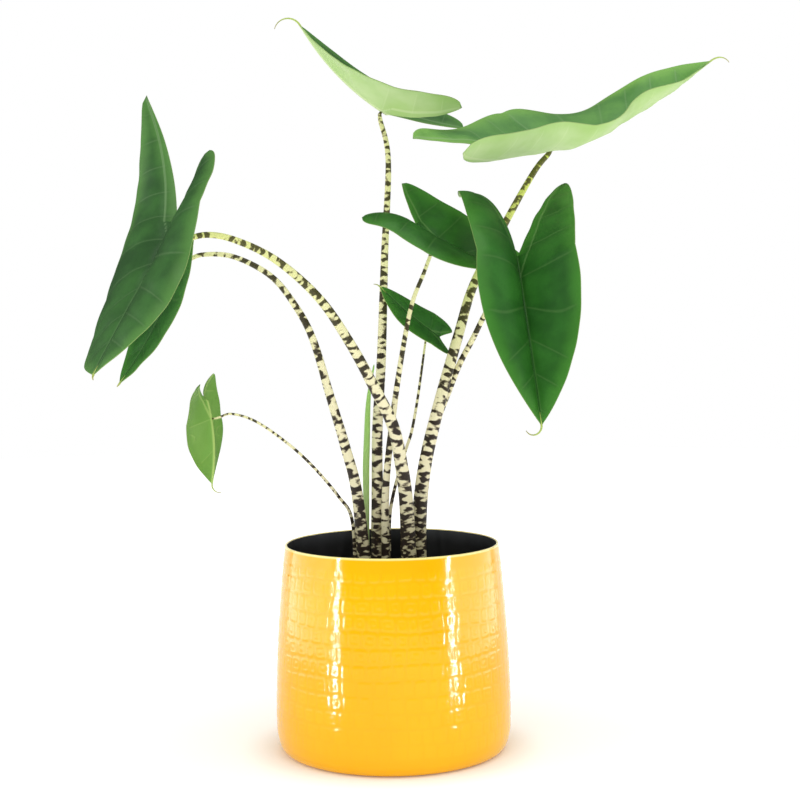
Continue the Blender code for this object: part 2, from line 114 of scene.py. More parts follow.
class Tree:
    """The node tree of one material, with its Principled shader."""

    def __init__(self, name):
        self.material = bpy.data.materials.new(name)
        self.material.use_nodes = True
        self.nodes = self.material.node_tree.nodes
        self.links = self.material.node_tree.links
        self.shader = self.nodes["Principled BSDF"]

    def put(self, socket, value):
        """Link a Value to an input socket, or set it to a plain value."""
        if isinstance(value, Value):
            self.links.new(value.socket, socket)
        else:
            socket.default_value = value

    def node(self, kind, settings=None, inputs=None, output=0):
        """Any node: its type, its settings, and the values or links of its inputs."""
        made = self.nodes.new(kind)
        for name, value in (settings or {}).items():
            setattr(made, name, value)
        for name, value in (inputs or {}).items():
            self.put(made.inputs[name], value)
        return Value(self, made.outputs[output])

    def number(self, value):
        """A plain number as a socket, for sums that start with one."""
        return self.node("ShaderNodeMath", {"operation": "ADD"}, {0: value, 1: 0.0})

    def mix(self, share, first, second):
        """A blend of two colours: the first where share is 0, the second where it is 1."""
        settings = {"data_type": "RGBA", "blend_type": "MIX"}
        inputs = {0: share, 6: first, 7: second}
        return self.node("ShaderNodeMix", settings, inputs, output=2)

    def vector(self, operation, *others):
        """A Vector Math node."""
        inputs = dict(enumerate(others))
        return self.node("ShaderNodeVectorMath", {"operation": operation}, inputs)

    def attribute(self, name, output="Fac"):
        return self.node("ShaderNodeAttribute", {"attribute_name": name}, output=output)

    def where(self):
        """The place on the piece, in metres."""
        return self.node("ShaderNodeTexCoord", output="Object")

    def noise(self, place, scale, detail=3.0, roughness=0.55, distortion=0.0):
        """Soft cloudy noise from 0 to 1."""
        inputs = {"Vector": place, "Scale": scale, "Detail": detail,
                  "Roughness": roughness, "Distortion": distortion}
        return self.node("ShaderNodeTexNoise", {}, inputs)

    def bump(self, height, distance, strength=1.0):
        """A normal that follows a height, in metres once multiplied by distance."""
        inputs = {"Height": height, "Distance": distance, "Strength": strength}
        return self.node("ShaderNodeBump", {}, inputs)

    def surface(self, **inputs):
        """Set inputs of the Principled shader, by name with _ for a space."""
        for name, value in inputs.items():
            self.put(self.shader.inputs[name.replace("_", " ")], value)


print("sockets can now be added, multiplied and mixed")

# %% [markdown]
# The camera stands a little over a metre in front of the plant, just above the middle
# of it, and looks very slightly down. It leans by less than a degree. The lens is a
# long one, so that the pot and the leaves keep their proportions. The distance is
# assumed; the height, tilt, lean and lens were worked out by a separate fitting script.

# %% Camera
CAMERA_PLACE = (0.0085, -1.300, 0.3625)
CAMERA_DOWN = 0.0525
CAMERA_LEAN = -0.0124
CAMERA_LENS = 69.75

camera_data = bpy.data.cameras.new("camera")
camera_data.lens = CAMERA_LENS
camera = bpy.data.objects.new("camera", camera_data)
scene.collection.objects.link(camera)
looking = Matrix.Rotation(math.pi / 2 - CAMERA_DOWN, 4, "X")
leaning = Matrix.Rotation(CAMERA_LEAN, 4, "Z")
camera.matrix_world = Matrix.Translation(CAMERA_PLACE) @ looking @ leaning
scene.camera = camera
print("lens", CAMERA_LENS, "mm")

# %% [markdown]
# Plants and glazed pots are shown on a white table in soft light. The world is plain
# white where the camera sees it, and dimmer as a light, so that the lamps can shape the
# leaves: a wide sheet overhead, and a panel on each side. The glossy pot needs lamps of
# its own, because a round wall mirrors everything about it: two narrow upright strips
# make its bright broken lines, two white boards outside them turn its sides pale, and a
# backdrop lights its edges. Those lamps only reach the pot, and only as reflections,
# while a fill light in front has no reflection at all. The table glows a little, more
# so further out, so that it runs into the white behind it without a line. Close round
# the pot's foot it glows much less: a painted shadow at the foot.

# %% Light and floor
FLOOR_RADIUS = 3.0
WORLD_GLOW = 0.40            # how bright the world is as a light
WORLD_GLOSS = 0.07           # how bright it is in reflections
scene.view_settings.view_transform = "Standard"

world = bpy.data.worlds.new("studio")
world.use_nodes = True
scene.world = world
sky = world.node_tree
background = sky.nodes["Background"]
background.inputs["Color"].default_value = (1.0, 1.0, 1.0, 1.0)
seen = sky.nodes.new("ShaderNodeLightPath")
glow = sky.nodes.new("ShaderNodeMapRange")
glow.inputs["To Min"].default_value = WORLD_GLOW
glow.inputs["To Max"].default_value = WORLD_GLOSS
sky.links.new(seen.outputs["Is Glossy Ray"], glow.inputs["Value"])
direct = sky.nodes.new("ShaderNodeMath")
direct.operation = "MAXIMUM"
sky.links.new(seen.outputs["Is Camera Ray"], direct.inputs[0])
sky.links.new(glow.outputs["Result"], direct.inputs[1])
sky.links.new(direct.outputs["Value"], background.inputs["Strength"])
pot_only = bpy.data.collections.new("pot_only")


def panel(name, place, target, width, height, brightness, reach="everything"):
    """A soft panel that faces a point; its reach says what it lights."""
    data = bpy.data.lights.new(name, "AREA")
    data.shape = "RECTANGLE"
    data.size = width
    data.size_y = height
    data.energy = brightness * math.pi * width * height
    light = bpy.data.objects.new(name, data)
    scene.collection.objects.link(light)
    facing = (Vector(place) - Vector(target)).to_track_quat("Z", "Y")
    light.matrix_world = Matrix.Translation(place) @ facing.to_matrix().to_4x4()
    light.visible_camera = False
    light.visible_diffuse = reach != "mirrored in pot"
    light.visible_glossy = reach != "unmirrored"
    if reach == "mirrored in pot":
        light.light_linking.receiver_collection = pot_only
    return light


panel("overhead", (0.15, -0.45, 2.0), (0, 0, 0.3), 1.9, 1.7, 1.7)
panel("side_left", (-1.55, -0.15, 0.80), (0, 0, 0.30), 1.40, 1.30, 1.15)
panel("side_right", (1.55, -0.15, 0.80), (0, 0, 0.30), 1.40, 1.30, 0.90)
panel("low_fill", (0.0, -1.70, 0.60), (0, 0, 0.20), 2.4, 1.00, 1.10, reach="unmirrored")
panel("strip_left", (-0.297, -0.244, 0.16), (-0.044, -0.084, 0.16), 0.017, 0.32, 80.0,
      reach="mirrored in pot")
panel("strip_right", (0.311, -0.226, 0.15), (0.047, -0.082, 0.15), 0.017, 0.30, 80.0,
      reach="mirrored in pot")
panel("board_left", (-0.70, 0.02, 0.40), (-0.06, -0.02, 0.40), 0.85, 0.80, 3.0,
      reach="mirrored in pot")
panel("board_right", (0.70, 0.02, 0.40), (0.06, -0.02, 0.40), 0.85, 0.80, 3.0,
      reach="mirrored in pot")
panel("backdrop", (0.0, 1.50, 0.70), (0, 0, 0.70), 2.60, 1.40, 1.0,
      reach="mirrored in pot")

floor_mesh = bpy.data.meshes.new("floor")
floor_bm = bmesh.new()
bmesh.ops.create_circle(floor_bm, cap_ends=True, radius=FLOOR_RADIUS, segments=96)
floor_bm.to_mesh(floor_mesh)
floor_bm.free()
floor = bpy.data.objects.new("floor", floor_mesh)
scene.collection.objects.link(floor)
paper = Tree("white_table")
place = paper.where()
grain = paper.noise(place, 300.0)
far = paper.node("ShaderNodeVectorMath", {"operation": "LENGTH"}, {0: place}, output=1)
# Painted shadow: the table's glow drops close round the pot's foot, so a dark ring shows
# there.
near = paper.mix(far.step(0.085, 0.135), screen(80, 80, 80), screen(180, 180, 180))
paper.surface(Base_Color=paper.mix(grain, screen(246, 245, 242), screen(252, 251, 248)),
              Roughness=0.75, Specular_IOR_Level=0.15,
              Emission_Color=paper.mix(far.step(0.15, 1.0), near, screen(255, 255, 255)),
              Emission_Strength=0.75)
floor_mesh.materials.append(paper.material)
print("floor", 2 * FLOOR_RADIUS, "m across")

# %% [markdown]
# Every piece is made from points worked out in Python, so one helper takes arrays of
# points and faces and gives back a smooth-shaded object that rides with the model,
# stands for its plain solid, and takes its finish from the right slot. Extra numbers
# at each point, such as the distance from a vein, are kept on the mesh as attributes
# for the materials to read.


# %% Make a piece
def piece(name, points, faces, materials, node=None, numbers=None, choice=None):
    """One visible piece of the plant or its pots."""
    mesh = bpy.data.meshes.new(name)
    mesh.from_pydata([tuple(point) for point in points], [], faces)
    for material in materials:
        mesh.materials.append(material)
    if choice is not None:
        mesh.polygons.foreach_set("material_index", np.asarray(choice, dtype=np.int32))
    for label, values in (numbers or {}).items():
        values = np.asarray(values, dtype=np.float32)
        kind = "FLOAT" if values.ndim == 1 else "FLOAT_VECTOR"
        field = "value" if values.ndim == 1 else "vector"
        made = mesh.attributes.new(label, kind, "POINT")
        made.data.foreach_set(field, values.ravel())
    mesh.shade_smooth()
    mesh.validate()
    thing = bpy.data.objects.new(name, mesh)
    scene.collection.objects.link(thing)
    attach(thing, "root")
    if node:
        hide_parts(node)
    print(name, len(mesh.vertices), "points")
    return thing


def grid_faces(rows, columns, wrap=False, first=0):
    """Quads of a grid whose points are listed row by row, closed round if wrap is set."""
    faces = []
    for row in range(rows - 1):
        for column in range(columns if wrap else columns - 1):
            a = first + row * columns + column
            b = first + row * columns + (column + 1) % columns
            faces.append((a, b, b + columns, a + columns))
    return faces


def smooth_step(values, low, high):
    """0 below low, 1 above high, and an S-shaped slope between."""
    share = np.clip((np.asarray(values, dtype=float) - low) / (high - low), 0, 1)
    return share * share * (3 - 2 * share)


print("helpers ready")

# %% [markdown]
# The cover pot is spun from thin sheet metal, so its outline is a curve turned round:
# a flat foot, a tight rounded corner, the belly, and a late taper up to the rim. Before
# it is enamelled, rows of small rounded oblongs are pressed into the wall, each a
# little different. A bump in the material could fake them, but the enamel is so glossy
# that its highlights break up on every oblong, so the relief is real: each point of a
# fine grid is moved by how far it lies inside its oblong.
# The height, belly, foot and the two curve powers came from a separate fitting script, for
# an assumed rim of 180 mm, and were rounded. The wall and floor thicknesses are guesses.

# %% Pot outline
POT_HEIGHT = 0.174
POT_RIM_RADIUS = 0.090
POT_BELLY_RADIUS = 0.099
POT_BELLY_HEIGHT = 0.030
POT_FOOT_RADIUS = 0.086
POT_WALL = 0.002
POT_FLOOR = 0.004
POT_CORNER_POWER = 2.9
POT_TAPER_POWER = 1.74


def pot_radius(height):
    """Outer radius of the pot at each height."""
    height = np.asarray(height, dtype=float)
    drop = np.clip((POT_BELLY_HEIGHT - height) / POT_BELLY_HEIGHT, 0, 1)
    corner = (1 - drop ** POT_CORNER_POWER) ** (1 / POT_CORNER_POWER)
    low = POT_FOOT_RADIUS + (POT_BELLY_RADIUS - POT_FOOT_RADIUS) * corner
    rise = np.clip((height - POT_BELLY_HEIGHT) / (POT_HEIGHT - POT_BELLY_HEIGHT), 0, 1)
    lean = (POT_BELLY_RADIUS - POT_RIM_RADIUS) * rise ** POT_TAPER_POWER
    return np.where(height < POT_BELLY_HEIGHT, low, POT_BELLY_RADIUS - lean)


print("belly", 2000 * POT_BELLY_RADIUS, "mm across")

# %% Relief of rounded oblongs
RELIEF_ROWS = 14
RELIEF_ROW = 0.0128          # height of one row of oblongs
RELIEF_WIDTHS = (0.0085, 0.0150)
RELIEF_DEPTH = 0.00024
RELIEF_GROOVE = 0.00014      # depth of the fine line inside each oblong
RELIEF_CORNER = 0.0026
RELIEF_LOW = 0.014
RELIEF_HIGH = 0.164
relief_random = np.random.default_rng(11)


def row_cells():
    """The edges of one row's oblongs, as shares of the way round, and their tilts."""
    girth = 2 * math.pi * POT_BELLY_RADIUS
    widths = []
    while sum(widths) < girth:
        widths.append(relief_random.uniform(*RELIEF_WIDTHS))
    edges = np.cumsum(widths) / sum(widths)
    tilts = relief_random.uniform(-0.10, 0.10, len(widths))
    heights = relief_random.uniform(0.75, 1.15, len(widths))
    return edges, tilts, heights, relief_random.uniform(0, 1)


relief_rows = [row_cells() for _ in range(RELIEF_ROWS)]


def relief(turn, height):
    """How far the wall stands out at each turn (0 to 1 round the pot) and height."""
    girth = 2 * math.pi * pot_radius(height)
    sway = 0.0009 * np.sin(2 * math.pi * (7 * turn + 0.3)) * np.sin(height * 90)
    level = (height - RELIEF_LOW + sway) / RELIEF_ROW
    row = np.clip(np.floor(level).astype(int), 0, len(relief_rows) - 1)
    out = np.zeros_like(height)
    for index, (edges, tilts, heights, start) in enumerate(relief_rows):
        here = row == index
        if not here.any():
            continue
        place = (turn[here] + start) % 1.0
        cell = np.clip(np.searchsorted(edges, place), 0, len(edges) - 1)
        left = np.where(cell > 0, edges[cell - 1], 0.0)
        middle = (left + edges[cell]) / 2
        half_width = (edges[cell] - left) / 2 * girth[here] - 0.0004
        half_height = RELIEF_ROW / 2 - 0.0005
        across = (place - middle) * girth[here]
        up = (level[here] - index - 0.5) * RELIEF_ROW
        across, up = across + tilts[cell] * up, up - tilts[cell] * across
        side = np.abs(across) - (half_width - RELIEF_CORNER)
        top = np.abs(up) - (half_height - RELIEF_CORNER)
        rounded = np.hypot(np.maximum(side, 0), np.maximum(top, 0))
        inside = RELIEF_CORNER - rounded - np.minimum(np.maximum(side, top), 0)
        pillow = RELIEF_DEPTH * smooth_step(inside, -0.0003, 0.0022)
        line = RELIEF_GROOVE * np.exp(-((inside - 0.0034) / 0.0011) ** 2)
        out[here] = (pillow - line) * heights[cell]
    fade = smooth_step(height, RELIEF_LOW - 0.002, RELIEF_LOW + 0.004)
    fade = fade * (1 - smooth_step(height, RELIEF_HIGH - 0.004, RELIEF_HIGH))
    return out * fade


print(sum(len(row[0]) for row in relief_rows), "oblongs")

# %% Pot shell
POT_TURNS = 720
POT_ROWS = 190
POT_CORNER_ROWS = 25
POT_INSIDE_ROWS = 30
RIM_ROWS = 6

corner_turns = np.linspace(0, math.pi / 2, POT_CORNER_ROWS + 1)[:-1]
corner_heights = POT_BELLY_HEIGHT * (1 - np.cos(corner_turns))
wall_heights = np.linspace(POT_BELLY_HEIGHT, POT_HEIGHT - POT_WALL / 2,
                           POT_ROWS - POT_CORNER_ROWS)
outer_heights = np.concatenate([corner_heights, wall_heights])
turns = np.arange(POT_TURNS) / POT_TURNS
turn_grid, height_grid = np.meshgrid(turns, outer_heights)
raised = relief(turn_grid, height_grid)
radius_grid = pot_radius(height_grid) + raised - RELIEF_DEPTH / 2
rim_angles = np.linspace(0, math.pi, RIM_ROWS + 2)[1:-1]
rim_radii = POT_RIM_RADIUS - POT_WALL / 2 + POT_WALL / 2 * np.cos(rim_angles)
rim_heights = POT_HEIGHT - POT_WALL / 2 + POT_WALL / 2 * np.sin(rim_angles)
inner_heights = np.linspace(POT_HEIGHT - POT_WALL / 2, POT_FLOOR + 0.004, POT_INSIDE_ROWS)
inner_radii = pot_radius(inner_heights) - POT_WALL
all_rows = []
foot_shares = (0.0005, 0.5, 0.9)
for share in foot_shares:
    all_rows.append((np.full(POT_TURNS, POT_FOOT_RADIUS * share), np.zeros(POT_TURNS)))
for radii, heights in zip(radius_grid, height_grid):
    all_rows.append((radii, heights))
for radius, height in zip(rim_radii, rim_heights):
    all_rows.append((np.full(POT_TURNS, radius), np.full(POT_TURNS, height)))
for radius, height in zip(inner_radii, inner_heights):
    all_rows.append((np.full(POT_TURNS, radius), np.full(POT_TURNS, height)))
for share in (0.93, 0.5, 0.0005):
    radius = (POT_FOOT_RADIUS - POT_WALL) * share
    all_rows.append((np.full(POT_TURNS, radius), np.full(POT_TURNS, POT_FLOOR)))
angles = 2 * math.pi * turns
pot_points = np.concatenate([
    np.stack([radii * np.cos(angles), radii * np.sin(angles), heights], axis=1)
    for radii, heights in all_rows])
pot_faces = grid_faces(len(all_rows), POT_TURNS, wrap=True)
pot_faces.append(tuple(range(POT_TURNS))[::-1])
last_ring = (len(all_rows) - 1) * POT_TURNS
pot_faces.append(tuple(range(last_ring, last_ring + POT_TURNS)))
yellow_rows = len(foot_shares) + len(outer_heights) + RIM_ROWS - 1
pot_choice = [0 if row < yellow_rows else 1
              for row in range(len(all_rows) - 1) for _ in range(POT_TURNS)] + [0, 1]
relief_numbers = np.zeros(len(pot_points))
start = len(foot_shares) * POT_TURNS
relief_numbers[start:start + raised.size] = raised.ravel() / RELIEF_DEPTH
print(len(pot_faces), "faces on the pot")

# %% [markdown]
# The enamel is a deep golden yellow and very glossy. A clear coat over it would be the
# usual way, but it turned the yellow milky, so the gloss is the enamel's own, with a
# faint sheen that softens the pot's edges. The enamel runs thin on the raised edges and
# pools in the grooves, so the colour follows the relief. A thin pale line along the rim
# is a painted highlight on its rolled edge, where the enamel also runs thin. Inside, the
# pot is plain satin black with faint streaks, and a painted highlight greys it near the rim.

# %% Pot finishes
# Painted highlight: the top of the rim is painted pale, where the enamel also runs thin.
RIM_PAINTED_HIGHLIGHT = (0.1718, 0.1732)   # heights between which the rim turns pale
# Painted highlight: the inside wall turns greyer just under the rim.
INSIDE_PAINTED_HIGHLIGHT = (0.160, 0.172)  # heights between which the inside turns greyer
enamel = Tree("yellow_enamel")
place = enamel.where()
clouds = enamel.noise(place, 14.0, detail=2.0)
ripple = enamel.noise(place, 90.0, detail=2.0)
specks = enamel.noise(place, 1400.0, detail=1.0)
height = enamel.attribute("relief")
golden = enamel.mix(clouds.step(0.35, 0.7), screen(250, 183, 5), screen(250, 189, 8))
level = enamel.node("ShaderNodeSeparateXYZ", {}, {0: place}, output=2)
pooled = enamel.mix(height.step(0.5, 0.0) * 0.3, golden, screen(246, 178, 5))
pooled = enamel.mix(specks.step(0.70, 0.78) * 0.2, pooled, screen(236, 164, 8))
enamel.surface(
    # The pale rim line is a painted highlight.
    Base_Color=enamel.mix(level.step(*RIM_PAINTED_HIGHLIGHT), pooled, screen(255, 236, 150)),
    Roughness=0.09 + clouds * 0.05, Specular_IOR_Level=0.27,
    Sheen_Weight=0.10, Sheen_Roughness=0.45, Sheen_Tint=screen(255, 240, 170),
    Normal=enamel.bump(ripple, 0.0004, 0.6))

inside_paint = Tree("black_inside")
place = inside_paint.where()
streaks = inside_paint.noise(place, 30.0)
level = inside_paint.node("ShaderNodeSeparateXYZ", {}, {0: place}, output=2)
black = inside_paint.mix(streaks, screen(5, 6, 7), screen(14, 15, 16))
inside_paint.surface(
    # The greyer band near the rim is a painted highlight.
    Base_Color=inside_paint.mix(level.step(*INSIDE_PAINTED_HIGHLIGHT) * 0.6, black, screen(58, 60, 64)),
    Roughness=0.30 + streaks * 0.16, Specular_IOR_Level=0.5,
    Normal=inside_paint.bump(inside_paint.noise(place, 500.0), 0.0001, 0.4))

pot_shell = piece("pot_shell", pot_points, pot_faces,
                  [enamel.material, inside_paint.material], "yellow_pot",
                  {"relief": relief_numbers}, pot_choice)
pot_only.objects.link(pot_shell)

# %% [markdown]
# Alocasia blades are long arrowheads. The stalk joins the blade from behind, where the
# veins meet, so every leaf hangs from that point in its own way. One way to make them
# is to sculpt eight sheets by hand. Here each leaf is laid out flat first, as lengths
# along and out from its midrib, and then folded at the midrib, curled out to the
# margin, bent along its length and turned to its place. Change one number, and the leaf
# still holds together. Most of these numbers came from a separate fitting script and
# were then adjusted, so the table is data made by another program and not a design.

# %% The leaves' own sizes
# junction     the point where the veins meet
# facing       degrees: turn of its tip about Z, rise of its tip, roll about its length
# length       junction to tip, and bluntness, how late the margin closes in
# lobe         junction to the ends of the back lobes; uneven, how much the right is longer
# half         width of one half; lobe_place, how far out a lobe ends; notch, their parting
# bend         degrees of droop; lobe_bend, fold, curl: degrees, left half and right half
# tip_fold, lobe_fold, twist: degrees added towards the tip or the lobes
# round        how round the ends of the left and right lobes are, from 0 to 1
# drip         the thread at the tip: its length, degrees of hook, and sideways turn
BLADES = {
    "blade_front_left": {
        "junction": (-0.168, -0.105, 0.425), "facing": (159, -40, 28),
        "length": 0.1507, "bluntness": 3.53, "lobe": 0.1151, "uneven": 0.39,
        "half": 0.0561, "lobe_place": 0.62, "notch": 0.18, "bend": 3,
        "lobe_bend": (-20, -39), "fold": (42, 41), "curl": (-58, -65),
        "tip_fold": (-56, -22), "lobe_fold": 19, "twist": 11, "round": (0.9, -0.35),
        "drip": (0.004, 60, 0)},
    "blade_behind_left": {
        "junction": (-0.170, -0.022, 0.414), "facing": (135, -70, 12),
        "length": 0.118, "bluntness": 1.9, "lobe": 0.036, "uneven": 0.0,
        "half": 0.050, "lobe_place": 0.45, "notch": 0.35, "bend": -22,
        "lobe_bend": (10, 10), "fold": (26, 10), "curl": (-21, -20),
        "tip_fold": (-15, -15), "lobe_fold": 0, "twist": -15, "round": (0, 0),
        "drip": (0.004, 90, 90)},
    "blade_top_left": {
        "junction": (-0.004, 0.035, 0.540), "facing": (92, 33, -10),
        "length": 0.100, "bluntness": 1.85, "lobe": 0.070, "uneven": 0.0,
        "half": 0.047, "lobe_place": 0.65, "notch": 0.10, "bend": -27,
        "lobe_bend": (-25, -6), "fold": (41, 31), "curl": (-21, -19),
        "tip_fold": (-18, -18), "lobe_fold": 21, "twist": -10, "round": (0.3, 0.3),
        "drip": (0.028, 135, 0)},
    "blade_top_right": {
        "junction": (0.141, 0.035, 0.508), "facing": (-54, 14, 31),
        "length": 0.1935, "bluntness": 2.1, "lobe": 0.129, "uneven": 0.0,
        "half": 0.0625, "lobe_place": 0.62, "notch": 0.25, "bend": -28,
        "lobe_bend": (21, 5), "fold": (-6, 7), "curl": (-16, 72),
        "tip_fold": (44, 12), "lobe_fold": 33, "twist": -26, "wave": (0.0170, -0.0060),
        "waves": (6.9, 10.5), "wave_start": (77, 6), "round": (-0.35, 1.0),
        "drip": (0.025, 75, 40)},
    "blade_middle": {
        "junction": (0.041, -0.010, 0.428), "facing": (-100, -31, 4),
        "length": 0.099, "bluntness": 1.9, "lobe": 0.062, "uneven": 0.03,
        "half": 0.047, "lobe_place": 0.57, "notch": 0.35, "bend": -28,
        "lobe_bend": (-29, 72), "fold": (30, 15), "curl": (8, -53),
        "tip_fold": (-7, -7), "lobe_fold": -4, "twist": 1, "round": (0.0, 1.0),
        "drip": (0.008, 90, 0)},
    "blade_right": {
        "junction": (0.104, -0.078, 0.393), "facing": (186, -51, 11),
        "length": 0.1260, "bluntness": 1.95, "lobe": 0.1172, "uneven": 0.0,
        "half": 0.0550, "lobe_place": 0.92, "notch": 0.19, "bend": 27,
        "lobe_bend": (26, 66), "fold": (34, 89), "curl": (4, -72),
        "tip_fold": (-24, -29), "lobe_fold": -25, "twist": 7, "round": (0.3, 0.4),
        "drip": (0.018, 160, 65)},
    "blade_small_middle": {
        "junction": (0.035, 0.034, 0.352), "facing": (109, 35, -47),
        "length": 0.060, "bluntness": 2.0, "lobe": 0.021, "uneven": 0.0,
        "half": 0.027, "lobe_place": 0.58, "notch": 0.50, "bend": -12,
        "lobe_bend": (12, 2), "fold": (12, 16), "curl": (9, -40),
        "tip_fold": (-21, -21), "lobe_fold": -1, "twist": 0, "round": (0.3, 0.3),
        "drip": (0.006, 60, 0)},
    "blade_small_left": {
        "junction": (-0.147, -0.030, 0.282), "facing": (90, -99, 14),
        "length": 0.0540, "bluntness": 1.45, "lobe": 0.0346, "uneven": 0.01,
        "half": 0.0407, "lobe_place": 0.81, "notch": 0.47, "bend": -19,
        "lobe_bend": (73, 49), "fold": (17, 39), "curl": (-18, -61),
        "tip_fold": (12, -9), "lobe_fold": -14, "twist": 12, "round": (0.8, 0.0),
        "drip": (0.012, 110, 0)},
}


for name, shape in BLADES.items():
    print(name, round(1000 * (shape["length"] + shape["lobe"])), "mm long")

# %% Outline of a flat leaf
DRIP_HALF_WIDTH = 0.0009


def lobe_length(shape, side):
    """Length of the back lobe on one side: -1 is left and +1 is right."""
    return shape["lobe"] * (1 + side * shape["uneven"])


def roundness(shape, side):
    """How round the end of a lobe is: 0 is pointed and 1 is full."""
    return shape["round"][0 if side < 0 else 1]


def outer_margin(shape, side, along):
    """Distance from the midrib to the outer margin, at distances along the leaf."""
    half = shape["half"]
    forward = np.clip(along / shape["length"], 0, 1)
    front = half * (1 - forward ** shape["bluntness"]) ** 0.92
    backward = np.clip(-along / lobe_length(shape, side), 0, 1)
    end = shape["lobe_place"] * half
    fullness = 2.4 + 3 * roundness(shape, side)
    back = end + (half - end) * np.sqrt(1 - backward ** fullness)
    return np.maximum(np.where(along >= 0, front, back), DRIP_HALF_WIDTH * 0.6)


def inner_margin(shape, side, along):
    """Distance from the midrib to a lobe's inner edge."""
    start = shape["lobe"] * shape["notch"]
    share = (-along - start) / (lobe_length(shape, side) - start)
    closing = 1 - 0.5 * roundness(shape, side)
    end = shape["lobe_place"] * shape["half"]
    return end * (1 - (1 - np.clip(share, 0, 1) ** 0.85) ** closing)


print("each leaf has a left and a right half")

# %% Bend and fold
def arc(bend_per_metre, distance):
    """Where a strip that bends evenly gets to: forwards, and up."""
    turn = bend_per_metre * distance
    return np.sin(turn) / bend_per_metre, (np.cos(turn) - 1) / bend_per_metre


def turn_of(shape):
    """The way a leaf faces, as a rotation."""
    heading, pitch, roll = (math.radians(angle) for angle in shape["facing"])
    turn = Matrix.Rotation(heading, 3, "Z") @ Matrix.Rotation(pitch, 3, "X")
    return np.array(turn @ Matrix.Rotation(roll, 3, "Y"))


def leaf_surface(shape, side, along, out):
    """The places in space of flat points of one half of a leaf."""
    half = shape["half"]
    which = 0 if side < 0 else 1
    forward_share = np.clip(along / shape["length"], 0, 1)
    lobe_share = np.clip(-along / shape["lobe"], 0, 1)
    notch_at = -shape["lobe"] * shape["notch"]
    bend = math.radians(shape["bend"]) / shape["length"]
    lobe_bend = math.radians(shape["lobe_bend"][which]) / shape["lobe"]
    front = np.maximum(along, notch_at)
    forward, up = arc(bend, front)
    droop = bend * front
    behind = np.minimum(along - notch_at, 0)
    more_forward, more_up = arc(lobe_bend, behind)
    forward = forward + more_forward * np.cos(droop) + more_up * np.sin(droop)
    up = up + more_up * np.cos(droop) - more_forward * np.sin(droop)
    droop = droop + lobe_bend * behind

    fold = np.radians(shape["fold"][which] + shape["tip_fold"][which] * forward_share
                      + shape["lobe_fold"] * lobe_share)
    curl = math.radians(shape["curl"][which])
    turned = fold + curl * out / half
    across = half / curl * (np.sin(turned) - np.sin(fold))
    lift = half / curl * (np.cos(fold) - np.cos(turned))
    if "wave" in shape:
        phase = shape["waves"][which] * along / shape["length"]
        phase = phase + math.radians(shape["wave_start"][which])
        wave = shape["wave"][which] * (out / half) ** 2 * np.sin(phase)
        across = across - wave * np.sin(turned)
        lift = lift + wave * np.cos(turned)

    twist = math.radians(shape["twist"]) * along / shape["length"]
    x = side * across * np.cos(twist) + lift * np.sin(twist)
    z = lift * np.cos(twist) - side * across * np.sin(twist)
    local = np.stack([x, forward + z * np.sin(droop), up + z * np.cos(droop)], axis=-1)
    return local @ turn_of(shape).T + np.array(shape["junction"])


def leaf_normal(shape, side, along, out):
    """Which way the upper face looks at the same points."""
    small = 0.0002
    here = leaf_surface(shape, side, along, out)
    outwards = side * (leaf_surface(shape, side, along, out + small) - here)
    ahead = leaf_surface(shape, side, along + small, out) - here
    normal = np.cross(outwards, ahead)
    return normal / np.linalg.norm(normal, axis=-1, keepdims=True)


print("a leaf can be bent, folded, curled and twisted")

# %% [markdown]
# A leaf is thin but not a sheet of paper: its margin is rounded, its midrib lies in a
# groove above and stands out as a ridge below, and the blade swells a little between
# the side veins. The side veins leave the midrib and sweep forwards; in each back lobe
# they leave a rib of their own. Where a vein lies is stored as numbers that change
# evenly over the leaf, and both the shape and the material read them, so that grooves
# and colours stay together.

# %% Veins
VEIN_SPACING = 0.027         # along the midrib, for a leaf with halves 50 mm wide
VEIN_SWEEP = 0.75            # how far a vein runs forwards for each step outwards


def vein_numbers(shape, side, along, out):
    """Vein count along the leaf, distance from the lobe's rib, and vein spacing in mm."""
    spacing = VEIN_SPACING * (shape["half"] / 0.050) ** 0.5
    start = along - 0.4 * out
    for _ in range(4):
        sweep = 0.08 + VEIN_SWEEP * smooth_step(start, 0, 0.35 * shape["length"])
        start = along - sweep * out
    inside = inner_margin(shape, side, along)
    width = outer_margin(shape, side, along) - inside
    notch_at = shape["lobe"] * shape["notch"]
    rib_out = inside + 0.20 * width * np.clip(-along / notch_at, 0, 1)
    rib = np.where(along > 0, 30.0, np.abs(out - rib_out) * 1000)
    return start / spacing, rib, np.full_like(out, 50 * spacing / shape["half"])


def bell(distance, width):
    """1 at a line, falling to nothing a few widths away from it."""
    return np.exp(-(distance / width) ** 2)


print("a side vein every", VEIN_SPACING * 1000, "mm")

# %% Build a leaf
LEAF_ROWS = 110
LEAF_COLUMNS = 26
LEAF_THICKNESS = 0.00075
MIDRIB_RIDGE = 0.0011
leaf_random = np.random.default_rng(5)


def leaf_columns(inside, outside, lobed):
    """Points from the inner edge to the margin, closer together where the edge rounds."""
    width = outside - inside
    even = np.linspace(0, 1, LEAF_COLUMNS)
    even = 0.7 * even + 0.3 * (1 - np.cos(math.pi * even)) / 2
    near = np.array([0, 0.00006, 0.0002, 0.0005])
    columns = inside[:, None] + width[:, None] * even[None, :]
    for step, distance in enumerate(near):
        pull = np.minimum(distance, width * 0.04 * (step + 0.5 * (step > 0)))
        columns[:, -1 - step] = outside - pull
        columns[:, step] = np.where(lobed, inside + pull, columns[:, step])
    return columns


def ripples(shape):
    """Gentle unevenness of one leaf, as a function of the place along and out."""
    waves = [(leaf_random.uniform(60, 260), leaf_random.uniform(60, 320),
              leaf_random.uniform(0, 6.3)) for _ in range(9)]

    def height(along, out, side):
        total = sum(np.sin(a * along + b * side * out + c) / (a + b) for a, b, c in waves)
        return 0.030 * total * smooth_step(out, 0, 0.3 * shape["half"])
    return height


